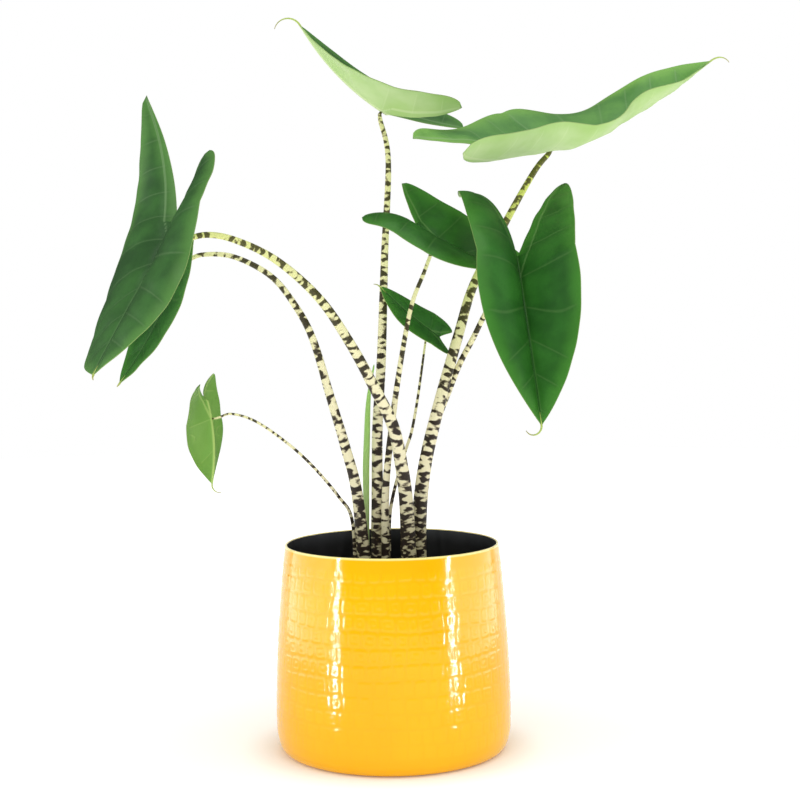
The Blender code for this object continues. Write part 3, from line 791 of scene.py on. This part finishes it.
def leaf_half(shape, side, ripple):
    """Upper and lower points of one half, with the numbers that its materials read."""
    lobe = lobe_length(shape, side)
    notch_at = shape["lobe"] * shape["notch"]
    back = np.linspace(0, 1, LEAF_ROWS // 3)
    back = -lobe + (lobe - notch_at) * (1 - (1 - back) ** 1.7)
    front = np.linspace(0, 1, LEAF_ROWS - LEAF_ROWS // 3 + 1)[1:]
    front = -notch_at + (shape["length"] + notch_at) * front ** 0.95
    places = np.concatenate([back, front])
    inside = inner_margin(shape, side, places)
    outside = np.maximum(outer_margin(shape, side, places), inside)
    lobed = places < -notch_at
    out = leaf_columns(inside, outside, lobed)
    along = np.repeat(places[:, None], LEAF_COLUMNS, axis=1)

    normal = leaf_normal(shape, side, along, out)
    middle = normal[:, 0] + leaf_normal(shape, -side, places, np.zeros_like(places))
    middle /= np.linalg.norm(middle, axis=-1, keepdims=True)
    normal[~lobed, 0] = middle[~lobed]

    to_margin = np.minimum(outside[:, None] - out,
                           np.where(lobed[:, None], out - inside[:, None], 1))
    rounding = np.sqrt(1 - (1 - np.clip(to_margin / 0.0005, 0, 1)) ** 2)
    count, rib, spacing = vein_numbers(shape, side, along, out)
    vein = np.abs(count - np.round(count)) * spacing
    taper = 1 - 0.75 * np.clip(along / shape["length"], 0, 1)
    ridge = bell(out, 0.0016 * taper + 0.0004) * taper * (along > -notch_at)
    side_rib = bell(rib / 1000, 0.0015) * (1 - np.clip(-along / lobe, 0, 1)) * (along < 0)
    ridge = np.maximum(ridge, side_rib * 0.7)
    away = smooth_step(out, 0.001, 0.006) * smooth_step(to_margin, 0.0, 0.012)
    line = bell(vein, 0.8) * away
    valley = np.maximum(bell(vein, 5.0), bell(rib, 5.0) * (along < 0))
    swell = (1 - valley) * away
    upper = LEAF_THICKNESS / 2 - 0.00045 * ridge - 0.00014 * line + 0.00060 * swell
    lower = LEAF_THICKNESS / 2 + MIDRIB_RIDGE * ridge + 0.00020 * line - 0.00050 * swell
    sheet = leaf_surface(shape, side, along, out)
    sheet = sheet + normal * ripple(along, out, side)[..., None]
    top = sheet + normal * (upper * rounding)[..., None]
    under = sheet - normal * (lower * rounding)[..., None]
    numbers = {"from_midrib": out * 1000, "to_margin": to_margin * 1000,
               "along": along / shape["length"], "vein_count": count,
               "from_rib": rib, "vein_gap": spacing}
    return top, under, numbers


def leaf_thread(shape):
    """Centres and radii of the thin thread that hooks away from the leaf's tip."""
    length, hook, sideways = shape["drip"]
    droop = math.radians(shape["bend"])
    forward, up = arc(droop / shape["length"], shape["length"])
    start = np.array([0, forward, up])
    ahead = np.array([0, math.cos(droop), -math.sin(droop)])
    above = np.array([0, math.sin(droop), math.cos(droop)])
    lean = math.radians(shape["twist"] + sideways)
    towards = np.array([math.sin(lean), 0, 0]) - above * math.cos(lean)
    centres = [start - ahead * 0.010, start - ahead * 0.004]
    bend = math.radians(hook) / length
    for share in np.linspace(0, 1, 15):
        turned = bend * length * share
        step = ahead * math.sin(turned) + towards * (1 - math.cos(turned))
        centres.append(start + step / bend)
    centres = np.array(centres) @ turn_of(shape).T + np.array(shape["junction"])
    size = min(1.0, 0.45 + shape["length"] / 0.18)
    radii = np.concatenate([[0.0003, 0.0007], np.linspace(0.0009, 0.0003, 15)]) * size
    return centres, radii


print("leaf builder ready")

# %% Tubes
def along_tube(centres, radii, sides):
    """Rings of points round a path, with the direction and length at each ring."""
    centres = np.asarray(centres)
    ahead = np.gradient(centres, axis=0)
    ahead /= np.linalg.norm(ahead, axis=1, keepdims=True)
    gaps = np.linalg.norm(np.diff(centres, axis=0), axis=1)
    lengths = np.concatenate([[0], np.cumsum(gaps)])
    side = np.array([0.0, -1.0, 0.0])
    angles = np.arange(sides) * 2 * math.pi / sides
    rings = []
    for centre, direction, radius in zip(centres, ahead, radii):
        side = side - direction * (side @ direction)
        side /= np.linalg.norm(side)
        other = np.cross(direction, side)
        radius = np.broadcast_to(radius, (sides,))
        spokes = (side[None, :] * np.cos(angles)[:, None]
                  + other[None, :] * np.sin(angles)[:, None])
        rings.append(centre + spokes * radius[:, None])
    return np.array(rings), angles, lengths


def tube_faces(rows, sides, first=0):
    """Faces of a tube whose rings are listed in order, with both ends closed."""
    faces = grid_faces(rows, sides, wrap=True, first=first)
    faces.append(tuple(range(first, first + sides))[::-1])
    last = first + (rows - 1) * sides
    faces.append(tuple(range(last, last + sides)))
    return faces


print("tubes ready")

# %% [markdown]
# The upper face is a deep, slightly waxy green that turns fresher towards the margin,
# with a pale hair line right along the edge. Veins show as fine paler lines. A dark line
# of painted shade runs in the groove of each side vein, of each lobe rib and of the
# midrib, and painted shade darkens the blade in the hollows just beside the side veins.
# The underside is pale and matt, so the two faces have their own materials. The leaves
# are not all one green either: the big left one and the highest one are softer, and the
# biggest one is paler.


# %% Leaf finishes
def vein_mask(tree, width):
    """1 on the side veins and 0 between them, at a width in mm."""
    count = tree.attribute("vein_count")
    gap = tree.attribute("vein_gap")
    line = (count + 40.0).maths("PINGPONG", 0.5) * gap
    clear = tree.attribute("from_midrib").step(0.5, 3.0)
    return line.step(width, 0.0) * clear * tree.attribute("to_margin").step(1.0, 9.0)


def leaf_upper(name, deep, fresh, edge, vein, tip):
    """The waxy upper face of a leaf."""
    tree = Tree(name)
    place = tree.where()
    midrib = tree.attribute("from_midrib")
    margin = tree.attribute("to_margin")
    clouds = tree.noise(place, 32.0, detail=3.0)
    fine = tree.noise(place, 420.0, detail=3.0)
    cells = tree.node("ShaderNodeTexVoronoi", {}, {"Vector": place, "Scale": 1500.0})
    green = tree.mix(clouds.step(0.30, 0.70), deep, fresh)
    green = tree.mix(tree.attribute("along").step(0.35, 1.0) * 0.6, green, tip)
    green = tree.mix(fine.step(0.35, 0.75) * 0.22, green, deep)
    green = tree.mix(margin.step(16.0, 0.0) * 0.55, green, edge)
    # Painted shade: the blade darkens in the hollows beside the side veins.
    green = tree.mix(vein_mask(tree, 6.0) * 0.35, green, deep)
    green = tree.mix(vein_mask(tree, 1.1) * 0.24, green, vein)
    # Painted shade: a dark line in each side vein's groove.
    green = tree.mix(vein_mask(tree, 0.45) * 0.20, green, deep)
    rib = tree.attribute("from_rib")
    green = tree.mix(rib.step(1.5, 0.5) * 0.5, green, vein)
    # Painted shade: a dark line in the groove of each lobe rib.
    green = tree.mix(rib.step(0.5, 0.1) * 0.4, green, deep)
    green = tree.mix(midrib.step(2.2, 1.1) * 0.24, green, vein)
    # Painted shade: a dark line in the midrib's groove.
    green = tree.mix(midrib.step(1.1, 0.5) * 0.95, green, deep)
    green = tree.mix(margin.step(0.6, 0.15) * 0.45, green, screen(150, 170, 100))
    relief = fine * 0.6 + cells * 0.4
    tree.surface(Base_Color=green, Roughness=0.36 + clouds * 0.14,
                 Specular_IOR_Level=0.22,
                 Normal=tree.bump(relief, 0.00012, 0.4))
    return tree.material


def leaf_lower(name, pale, green_tint, vein):
    """The pale matt underside of a leaf."""
    tree = Tree(name)
    place = tree.where()
    midrib = tree.attribute("from_midrib")
    margin = tree.attribute("to_margin")
    clouds = tree.noise(place, 26.0, detail=3.0)
    green = tree.mix(clouds.step(0.25, 0.75) * 0.6, pale, green_tint)
    green = tree.mix(margin.step(12.0, 0.0) * 0.35, green, green_tint)
    green = tree.mix(vein_mask(tree, 1.0) * 0.25, green, vein)
    green = tree.mix(midrib.step(2.4, 0.8) * 0.85, green, vein)
    green = tree.mix(tree.attribute("from_rib").step(2.2, 0.8) * 0.5, green, vein)
    green = tree.mix(margin.step(0.7, 0.1) * 0.6, green, screen(120, 140, 84))
    tree.surface(Base_Color=green, Roughness=0.50 + clouds * 0.12,
                 Specular_IOR_Level=0.30,
                 Normal=tree.bump(clouds, 0.0006, 0.3))
    return tree.material


def thread_finish():
    """The yellow-green thread at a leaf's tip, browner at its very end."""
    tree = Tree("leaf_thread")
    fine = tree.noise(tree.where(), 700.0)
    far = tree.attribute("along").step(0.6, 1.0)
    colour = tree.mix(fine, screen(150, 176, 74), screen(182, 200, 104))
    colour = tree.mix(far * 0.6, colour, screen(150, 120, 70))
    tree.surface(Base_Color=colour, Roughness=0.42,
                 Normal=tree.bump(fine, 0.0002, 0.4))
    return tree.material


leaf_top = leaf_upper("leaf_top", screen(30, 82, 24), screen(46, 108, 34),
                      screen(72, 138, 46), screen(104, 146, 82), screen(50, 112, 34))
leaf_top_soft = leaf_upper("leaf_top_soft", screen(46, 84, 42), screen(60, 108, 50),
                           screen(98, 150, 72), screen(124, 158, 108), screen(74, 122, 62))
leaf_top_pale = leaf_upper("leaf_top_pale", screen(84, 134, 74), screen(108, 160, 84),
                           screen(138, 190, 90), screen(156, 188, 134), screen(96, 160, 48))
leaf_under = leaf_lower("leaf_under", screen(186, 212, 150), screen(150, 192, 98),
                        screen(206, 224, 170))
young_under = leaf_lower("young_leaf_under", screen(122, 170, 76), screen(98, 150, 58),
                         screen(176, 206, 116))
thread_green = thread_finish()

# %% The eight leaves
LEAF_TOPS = {"blade_front_left": leaf_top_soft, "blade_top_left": leaf_top_soft,
             "blade_top_right": leaf_top_pale}
LEAF_UNDERS = {"blade_small_left": young_under}
THREAD_SIDES = 10
WELD_DISTANCE = 0.000004
SMALLEST_EDGE = 0.000001

for name, shape in BLADES.items():
    ripple = ripples(shape)
    points, faces, choice = [], [], []
    numbers = {}
    for side in (-1, 1):
        top, under, values = leaf_half(shape, side, ripple)
        for grid, slot, flip in ((top, 0, side < 0), (under, 1, side > 0)):
            made = grid_faces(LEAF_ROWS, LEAF_COLUMNS, first=len(points))
            faces += [face[::-1] if flip else face for face in made]
            choice += [slot] * len(made)
            points.extend(grid.reshape(-1, 3))
            for label, field in values.items():
                numbers.setdefault(label, []).append(field.ravel())
    centres, radii = leaf_thread(shape)
    rings, _, lengths = along_tube(centres, radii, THREAD_SIDES)
    made = tube_faces(len(rings), THREAD_SIDES, first=len(points))
    faces += made
    choice += [2] * len(made)
    points.extend(rings.reshape(-1, 3))
    for label in numbers:
        filler = np.full(rings.shape[:2], 20.0)
        if label == "along":
            filler[:] = (lengths / lengths[-1])[:, None]
        numbers[label].append(filler.ravel())
    numbers = {label: np.concatenate(fields) for label, fields in numbers.items()}
    finishes = [LEAF_TOPS.get(name, leaf_top), LEAF_UNDERS.get(name, leaf_under),
                thread_green]
    leaf = piece("leaf_" + name[6:], points, faces, finishes, name, numbers,
                 choice)
    weld = bmesh.new()
    weld.from_mesh(leaf.data)
    bmesh.ops.remove_doubles(weld, verts=weld.verts, dist=WELD_DISTANCE)
    bmesh.ops.dissolve_degenerate(weld, edges=weld.edges, dist=SMALLEST_EDGE)
    weld.to_mesh(leaf.data)
    weld.free()
    leaf.data.shade_smooth()

# %% [markdown]
# The leaf stalks are the plant's signature: cream, with dark brown zebra bands that
# break into blotches, dense at the foot and finer and greener towards the leaf. Each is
# a tube along a smooth curve, thick where it leaves the soil and slender behind its
# leaf. Object coordinates would smear the bands, because the stalks lean and arch, so
# every point carries its own place on the stalk instead: round it, and along it.
# The routes below, and the sheath's, were placed by a separate script in width and height,
# with the depth guessed, so they too are another program's numbers.

# %% Stalk sizes and routes
SOIL_TOP = 0.126
SOIL_CROWN = 0.003
STALKS = {
    "stalk_front_left": {
        "blade": "blade_front_left", "root": (0.0150, -0.007),
        "route": ((0.013, -0.009, 0.203), (0.009, -0.014, 0.241), (0.002, -0.020, 0.275),
                  (-0.013, -0.028, 0.307), (-0.031, -0.040, 0.342),
                  (-0.055, -0.054, 0.379), (-0.087, -0.070, 0.409),
                  (-0.118, -0.085, 0.425), (-0.141, -0.095, 0.429)),
        "radii": (0.0072, 0.0020), "thinning": 0.85},
    "stalk_behind_left": {
        "blade": "blade_behind_left", "root": (-0.0208, -0.004),
        "route": ((-0.028, -0.006, 0.213), (-0.038, -0.008, 0.257),
                  (-0.050, -0.011, 0.300), (-0.063, -0.014, 0.346),
                  (-0.077, -0.016, 0.374), (-0.097, -0.018, 0.399),
                  (-0.127, -0.020, 0.415), (-0.152, -0.021, 0.417)),
        "radii": (0.0070, 0.0017), "thinning": 0.62},
    "stalk_top_left": {
        "blade": "blade_top_left", "root": (-0.0135, 0.010),
        "route": ((-0.012, 0.011, 0.201), (-0.011, 0.017, 0.270), (-0.007, 0.022, 0.328),
                  (-0.003, 0.029, 0.419), (0.001, 0.033, 0.498)),
        "radii": (0.0056, 0.0019), "thinning": 1.10},
    "stalk_top_right": {
        "blade": "blade_top_right", "root": (0.0225, 0.009),
        "route": ((0.0235, 0.008, 0.190), (0.029, 0.006, 0.239), (0.043, 0.010, 0.295),
                  (0.059, 0.016, 0.349), (0.073, 0.022, 0.392), (0.103, 0.029, 0.448),
                  (0.126, 0.034, 0.487)),
        "radii": (0.0070, 0.0022), "thinning": 1.00},
    "stalk_middle": {
        "blade": "blade_middle", "root": (-0.0045, 0.0),
        "route": ((-0.005, 0.0, 0.209), (0.002, -0.001, 0.277), (0.010, -0.006, 0.329),
                  (0.019, -0.009, 0.373), (0.030, -0.011, 0.401)),
        "radii": (0.0042, 0.0014), "thinning": 0.80},
    "stalk_right": {
        "blade": "blade_right", "root": (0.0225, 0.024),
        "route": ((0.026, 0.023, 0.200), (0.035, 0.021, 0.259), (0.052, 0.020, 0.305),
                  (0.060, 0.019, 0.324), (0.071, 0.013, 0.345), (0.082, -0.005, 0.368),
                  (0.093, -0.042, 0.385)),
        "radii": (0.0040, 0.0016), "thinning": 1.00},
    "stalk_small_middle": {
        "blade": "blade_small_middle", "root": (-0.002, 0.012),
        "route": ((-0.002, 0.011, 0.185), (0.002, 0.012, 0.214), (0.013, 0.015, 0.251),
                  (0.018, 0.017, 0.266), (0.023, 0.020, 0.291), (0.027, 0.025, 0.316)),
        "radii": (0.0019, 0.0009), "thinning": 0.80},
    "stalk_small_left": {
        "blade": "blade_small_left", "root": (-0.031, 0.009),
        "route": ((-0.033, 0.008, 0.190), (-0.045, 0.002, 0.214), (-0.068, -0.008, 0.243),
                  (-0.090, -0.017, 0.264), (-0.112, -0.025, 0.280), (-0.130, -0.029, 0.286)),
        "radii": (0.0018, 0.0009), "thinning": 0.80},
}
SHEATH_ROUTE = ((-0.021, 0.013, SOIL_TOP), (-0.021, 0.010, 0.195),
                (-0.021, 0.010, 0.233), (-0.020, 0.010, 0.258),
                (-0.018, 0.009, 0.295), (-0.013, 0.009, 0.324))
SHEATH_RADII = ((0.0, 0.0016), (0.25, 0.0020), (0.55, 0.0029), (0.80, 0.0022),
                (1.0, 0.0005))


def smooth_curve(points, count):
    """Points at even steps along a smooth curve through the given points."""
    points = [Vector(point) for point in points]
    points = [2 * points[0] - points[1]] + points + [2 * points[-1] - points[-2]]
    fine = []
    for a, b, c, d in zip(points, points[1:], points[2:], points[3:]):
        for step in range(12):
            t = step / 12
            fine.append(0.5 * (2 * b + (c - a) * t + (2 * a - 5 * b + 4 * c - d) * t ** 2
                               + (3 * b - a - 3 * c + d) * t ** 3))
    fine.append(points[-2])
    fine = np.array(fine)
    gaps = np.linalg.norm(np.diff(fine, axis=0), axis=1)
    lengths = np.concatenate([[0], np.cumsum(gaps)])
    even = np.linspace(0, lengths[-1], count)
    return np.stack([np.interp(even, lengths, fine[:, axis]) for axis in range(3)], axis=1)


print(len(STALKS), "stalks")


# %% Stalk finish
def stalk_finish():
    """Zebra bands and blotches on cream, finer and greener towards the leaf, with painted
    shade darkening the cream at the foot.
    """
    tree = Tree("zebra_stalk")
    place = tree.attribute("stripe_place", output="Vector")
    up = tree.attribute("up_the_stalk")
    fresh = tree.attribute("freshness")
    broad = tree.noise(place, 0.24, detail=0.0, distortion=0.20)
    fine = tree.noise(place, 0.52, detail=0.6, distortion=0.45)
    tiny = tree.noise(place, 2.2, detail=2.0)
    steady = up.step(0.0, 0.35)
    blotches = broad * (0.45 + steady * 0.32) + fine * (0.55 - steady * 0.32)
    blotches = blotches + (tiny - 0.5) * 0.03
    level = 0.460 + steady * 0.068
    dark = (blotches - level).step(-0.060, 0.044)
    cream = tree.mix(fresh, screen(240, 232, 196), screen(200, 214, 96))
    cream = tree.mix(tiny.step(0.45, 0.8) * 0.3, cream, screen(214, 192, 136))
    # Painted shade: the cream turns dull and dark towards the foot of each stalk.
    cream = tree.mix(up.step(0.30, 0.0) * 0.75, cream, screen(168, 158, 108))
    cream = tree.mix(dark * 0.6, cream, screen(130, 100, 60))
    brown = tree.mix(fresh, screen(40, 30, 22), screen(96, 98, 38))
    brown = tree.mix(tiny.step(0.5, 0.75) * 0.35, brown, screen(100, 76, 54))
    tree.surface(Base_Color=tree.mix(dark, cream, brown), Roughness=0.42 + tiny * 0.15,
                 Specular_IOR_Level=0.4,
                 Normal=tree.bump(tiny + dark * 0.4, 0.0002, 0.5))
    return tree.material


zebra_stalk = stalk_finish()
STALK_SIDES = 28
STALK_RINGS = 150
STALK_APPROACH = 0.007
STALK_END_CLEARANCE = 0.0009
stalk_random = np.random.default_rng(3)
GREENNESS = {"stalk_top_right": 1.0, "stalk_front_left": 0.65, "stalk_top_left": 0.45}

# %% The eight stalks
for name, plan in STALKS.items():
    shape = BLADES[plan["blade"]]
    junction = np.array(shape["junction"])
    behind = -turn_of(shape) @ np.array([0, 0, 1])
    back = np.array(plan["route"][-1]) - junction
    back /= np.linalg.norm(back)
    approach = behind + back
    approach = junction + approach / np.linalg.norm(approach) * STALK_APPROACH
    root = (*plan["root"], SOIL_TOP)
    end = junction + behind * STALK_END_CLEARANCE
    centres = smooth_curve([root, *plan["route"], approach, end], STALK_RINGS)
    share = np.linspace(0, 1, STALK_RINGS)
    low, high = plan["radii"]
    radii = low + (high - low) * share ** plan["thinning"]
    radii *= 1 + 0.10 * np.exp(-share / 0.03)
    radii[-4:] *= (0.97, 0.92, 0.8, 0.5)
    angles = np.arange(STALK_SIDES) * 2 * math.pi / STALK_SIDES
    flutes = 1 + 0.012 * np.sin(7 * angles + stalk_random.uniform(0, 6))
    rings, angles, lengths = along_tube(centres, radii[:, None] * flutes, STALK_SIDES)
    round_place = (radii * (1 + 0.25 * share))[:, None] * 1000
    along_place = (lengths * (1 + 0.10 * share))[:, None] * 1000
    stripe = np.stack([round_place * np.cos(angles), round_place * np.sin(angles),
                       np.repeat(along_place, STALK_SIDES, axis=1)], axis=-1)
    stripe = stripe * (0.42, 0.42, 0.90) + stalk_random.uniform(0, 500, 3)
    fresh = GREENNESS.get(name, 0.3) * smooth_step(share, 0.35, 0.95)
    up = np.repeat(share[:, None], STALK_SIDES, axis=1)
    piece("zebra_" + name, rings.reshape(-1, 3), tube_faces(STALK_RINGS, STALK_SIDES),
          [zebra_stalk], name,
          {"stripe_place": stripe.reshape(-1, 3), "up_the_stalk": up.ravel(),
           "freshness": np.repeat(fresh, STALK_SIDES)})

# %% [markdown]
# Beside the tallest stalk stands the pale sheath of the next leaf, still rolled up. It
# is a slim tube, widest in the middle and drawn out to a point, with fine lines along
# it.

# %% New leaf sheath
sheath_tree = Tree("sheath_green")
lines = sheath_tree.attribute("stripe_place", output="Vector")
grain = sheath_tree.noise(lines, 3.0, detail=3.0)
up = sheath_tree.attribute("up_the_stalk")
green = sheath_tree.mix(up.step(0.0, 0.8), screen(202, 216, 160), screen(158, 206, 108))
sheath_tree.surface(
    Base_Color=sheath_tree.mix(grain.step(0.4, 0.7) * 0.5, green, screen(124, 172, 80)),
    Roughness=0.4 + grain * 0.15, Normal=sheath_tree.bump(grain, 0.0002, 0.5))
SHEATH_RINGS = 90
SHEATH_SIDES = 24
SHEATH_OVERLAP = 0.10        # how far the rolled edge stands out, as a share
SHEATH_EDGE_TURN = 4.4       # where it is, in radians round the sheath
centres = smooth_curve(SHEATH_ROUTE, SHEATH_RINGS)
share = np.linspace(0, 1, SHEATH_RINGS)
radii = np.interp(share, *zip(*SHEATH_RADII))
radii = np.convolve(np.pad(radii, 6, mode="edge"), np.ones(13) / 13, mode="valid")
radii[-1] = 0.0003
angles = np.arange(SHEATH_SIDES) * 2 * math.pi / SHEATH_SIDES
overlap = 1 + SHEATH_OVERLAP * np.exp(-((angles - SHEATH_EDGE_TURN) / 0.35) ** 2)
rings, angles, lengths = along_tube(centres, radii[:, None] * overlap, SHEATH_SIDES)
stripe = np.stack([radii[:, None] * 2500 * np.cos(angles),
                   radii[:, None] * 2500 * np.sin(angles),
                   np.repeat(lengths[:, None] * 40, SHEATH_SIDES, axis=1)], axis=-1)
up = np.repeat(share[:, None], SHEATH_SIDES, axis=1)
piece("rolled_sheath", rings.reshape(-1, 3), tube_faces(SHEATH_RINGS, SHEATH_SIDES),
      [sheath_tree.material], "new_leaf_sheath",
      {"stripe_place": stripe.reshape(-1, 3), "up_the_stalk": up.ravel()})

# %% [markdown]
# The nursery pot inside is thin black plastic with a stiff rolled lip; only the lip and
# the inside of its wall can be seen, deep in the cover pot. It is turned like the cover
# pot, with the lip rounded over.

# %% Nursery pot
GROW_POT_BASE = 0.0044
GROW_POT_HEIGHT = 0.130
GROW_POT_RIM_RADIUS = 0.081
GROW_POT_FOOT_RADIUS = 0.062
GROW_POT_WALL = 0.0015
GROW_POT_FLOOR = 0.003
GROW_POT_LIP = 0.003
GROW_POT_LIP_HEIGHT = 0.010
GROW_POT_DRAIN_RADIUS = 0.012
GROW_POT_LEAN = (GROW_POT_RIM_RADIUS - GROW_POT_FOOT_RADIUS) / GROW_POT_HEIGHT
GROW_POT_TURNS = 180


def grow_pot_radius(height):
    """Outer radius of the nursery pot's wall at a height."""
    return GROW_POT_FOOT_RADIUS + GROW_POT_LEAN * (height - GROW_POT_BASE)


top = GROW_POT_BASE + GROW_POT_HEIGHT
under_lip = top - GROW_POT_LIP_HEIGHT
profile = [(GROW_POT_DRAIN_RADIUS, GROW_POT_BASE)]
profile += [(GROW_POT_FOOT_RADIUS - 0.001, GROW_POT_BASE),
            (GROW_POT_FOOT_RADIUS, GROW_POT_BASE + 0.001)]
for height in np.linspace(GROW_POT_BASE + 0.003, under_lip, 12):
    profile.append((grow_pot_radius(height), height))
lip_out = grow_pot_radius(under_lip) + GROW_POT_LIP
profile += [(lip_out - 0.0005, under_lip), (lip_out, under_lip + 0.0006)]
lip_top = GROW_POT_RIM_RADIUS + GROW_POT_LIP
profile += [(lip_top, top - 0.0016)]
crown = (lip_top + GROW_POT_RIM_RADIUS - GROW_POT_WALL) / 2
crown_half = lip_top - crown
for angle in np.linspace(0, math.pi, 9)[1:-1]:
    profile.append((crown + crown_half * math.cos(angle),
                    top - 0.0016 + 0.0016 * math.sin(angle)))
for height in np.linspace(top - 0.0016, GROW_POT_BASE + GROW_POT_FLOOR, 14):
    profile.append((grow_pot_radius(height) - GROW_POT_WALL, height))
profile.append((GROW_POT_DRAIN_RADIUS, GROW_POT_BASE + GROW_POT_FLOOR))
angles = np.arange(GROW_POT_TURNS) * 2 * math.pi / GROW_POT_TURNS
points = np.concatenate([
    np.stack([radius * np.cos(angles), radius * np.sin(angles),
              np.full(GROW_POT_TURNS, height)], axis=1) for radius, height in profile])
faces = grid_faces(len(profile), GROW_POT_TURNS, wrap=True)
last = (len(profile) - 1) * GROW_POT_TURNS
for column in range(GROW_POT_TURNS):
    after = (column + 1) % GROW_POT_TURNS
    faces.append((last + column, last + after, after, column))

plastic = Tree("nursery_plastic")
place = plastic.where()
grain = plastic.noise(place, 1800.0, detail=2.0)
scuffs = plastic.noise(plastic.vector("MULTIPLY", place, (1.0, 1.0, 6.0)), 60.0)
plastic.surface(
    Base_Color=plastic.mix(scuffs.step(0.5, 0.75) * 0.5, screen(17, 18, 20),
                           screen(40, 41, 43)),
    Roughness=0.38 + scuffs * 0.25, Specular_IOR_Level=0.45,
    Normal=plastic.bump(grain, 0.0002, 0.5))
piece("nursery_pot", points, faces, [plastic.material], "grow_pot")

# %% [markdown]
# Potting mix is dark fibre with bark, roots and white perlite in it. A rough surface
# alone looks like mud, so the top is a displaced disc with several hundred separate
# crumbs pressed into it: small lumps, each squashed and turned its own way. It mounds a
# little round every stalk.

# %% Potting mix
SOIL_TURNS = 160
SOIL_ROWS = 70
SOIL_CRUMBS = 1300
soil_random = np.random.default_rng(8)
soil_edge = grow_pot_radius(SOIL_TOP) - GROW_POT_WALL - 0.0003
roots = np.array([plan["root"] for plan in STALKS.values()])
waves = [(soil_random.uniform(60, 700), soil_random.uniform(0, 6.3),
          soil_random.uniform(0, 6.3)) for _ in range(26)]


def soil_height(x, y):
    """Height of the soil's surface."""
    share = np.hypot(x, y) / soil_edge
    height = SOIL_TOP - 0.0015 + SOIL_CROWN * (1 - share ** 2)
    for pitch, heading, phase in waves:
        swing = np.sin(pitch * (x * math.cos(heading) + y * math.sin(heading)) + phase)
        height = height + swing * 0.09 / (pitch + 60) * 1.2
    near = np.min(np.hypot(x[..., None] - roots[:, 0], y[..., None] - roots[:, 1]), -1)
    return height + 0.003 * np.exp(-(near / 0.012) ** 2)


angles = np.arange(SOIL_TURNS) * 2 * math.pi / SOIL_TURNS
shares = np.linspace(1, 0.003, SOIL_ROWS)
ring_x = soil_edge * shares[:, None] * np.cos(angles)
ring_y = soil_edge * shares[:, None] * np.sin(angles)
surface = np.stack([ring_x, ring_y, soil_height(ring_x, ring_y)], axis=-1)
bottom = GROW_POT_BASE + GROW_POT_FLOOR + 0.0004
side_rows = []
for height in (bottom, bottom, 0.07, SOIL_TOP - 0.006):
    radius = grow_pot_radius(height) - GROW_POT_WALL - 0.0008
    if not side_rows:
        radius = 0.001
    side_rows.append(np.stack([radius * np.cos(angles), radius * np.sin(angles),
                               np.full(SOIL_TURNS, height)], axis=-1))
rows = np.concatenate([np.array(side_rows), surface])
points = list(rows.reshape(-1, 3))
faces = tube_faces(len(rows), SOIL_TURNS)
kinds = [0.0] * len(points)

lump = bmesh.new()
bmesh.ops.create_icosphere(lump, subdivisions=1, radius=1.0)
lump_points = np.array([vert.co[:] for vert in lump.verts])
lump_faces = [tuple(vert.index for vert in face.verts) for face in lump.faces]
lump.free()
for _ in range(SOIL_CRUMBS):
    radius = soil_edge * 0.97 * math.sqrt(soil_random.uniform(0, 1))
    heading = soil_random.uniform(0, 2 * math.pi)
    x, y = radius * math.cos(heading), radius * math.sin(heading)
    z = float(soil_height(np.array(x), np.array(y)))
    kind = soil_random.choice([0.25, 0.5, 0.75, 1.0], p=[0.40, 0.33, 0.20, 0.07])
    size = soil_random.uniform(0.0007, 0.0022)
    stretch = np.array([1.0, soil_random.uniform(0.4, 0.9), soil_random.uniform(0.3, 0.7)])
    if kind == 0.75:
        stretch *= (2.4, 0.35, 0.5)
    if kind == 1.0:
        stretch = np.array([0.8, 0.75, 0.7])
    rough = 1 + soil_random.uniform(-0.28, 0.28, (len(lump_points), 1))
    turn = Matrix.Rotation(soil_random.uniform(0, 6.3), 3, "Z")
    turn = turn @ Matrix.Rotation(soil_random.uniform(-0.6, 0.6), 3, "X")
    crumb = (lump_points * rough * stretch * size) @ np.array(turn).T
    crumb[:, 2] = np.minimum(crumb[:, 2], 0.003)
    first = len(points)
    points.extend(crumb + (x, y, z + size * 0.15))
    faces += [tuple(first + index for index in face) for face in lump_faces]
    kinds += [kind] * len(lump_points)

mix_tree = Tree("potting_mix")
place = mix_tree.where()
kind = mix_tree.attribute("crumb_kind")
earth = mix_tree.noise(place, 240.0, detail=5.0)
fibre = mix_tree.noise(mix_tree.vector("MULTIPLY", place, (1.0, 3.0, 1.0)), 900.0)
colour = mix_tree.mix(earth.step(0.3, 0.7), screen(30, 21, 16), screen(66, 47, 34))
colour = mix_tree.mix(kind.step(0.30, 0.45), colour, screen(88, 60, 40))
colour = mix_tree.mix(kind.step(0.60, 0.72), colour, screen(124, 92, 60))
colour = mix_tree.mix(kind.step(0.85, 0.95), colour, screen(214, 208, 196))
colour = mix_tree.mix(fibre.step(0.5, 0.7) * 0.4, colour, screen(24, 17, 13))
mix_tree.surface(Base_Color=colour, Roughness=0.92 - fibre * 0.1,
                 Specular_IOR_Level=0.2,
                 Normal=mix_tree.bump(earth + fibre * 0.5, 0.0006, 0.8))
piece("soil_and_bark", points, faces, [mix_tree.material], "potting_soil",
      {"crumb_kind": kinds})
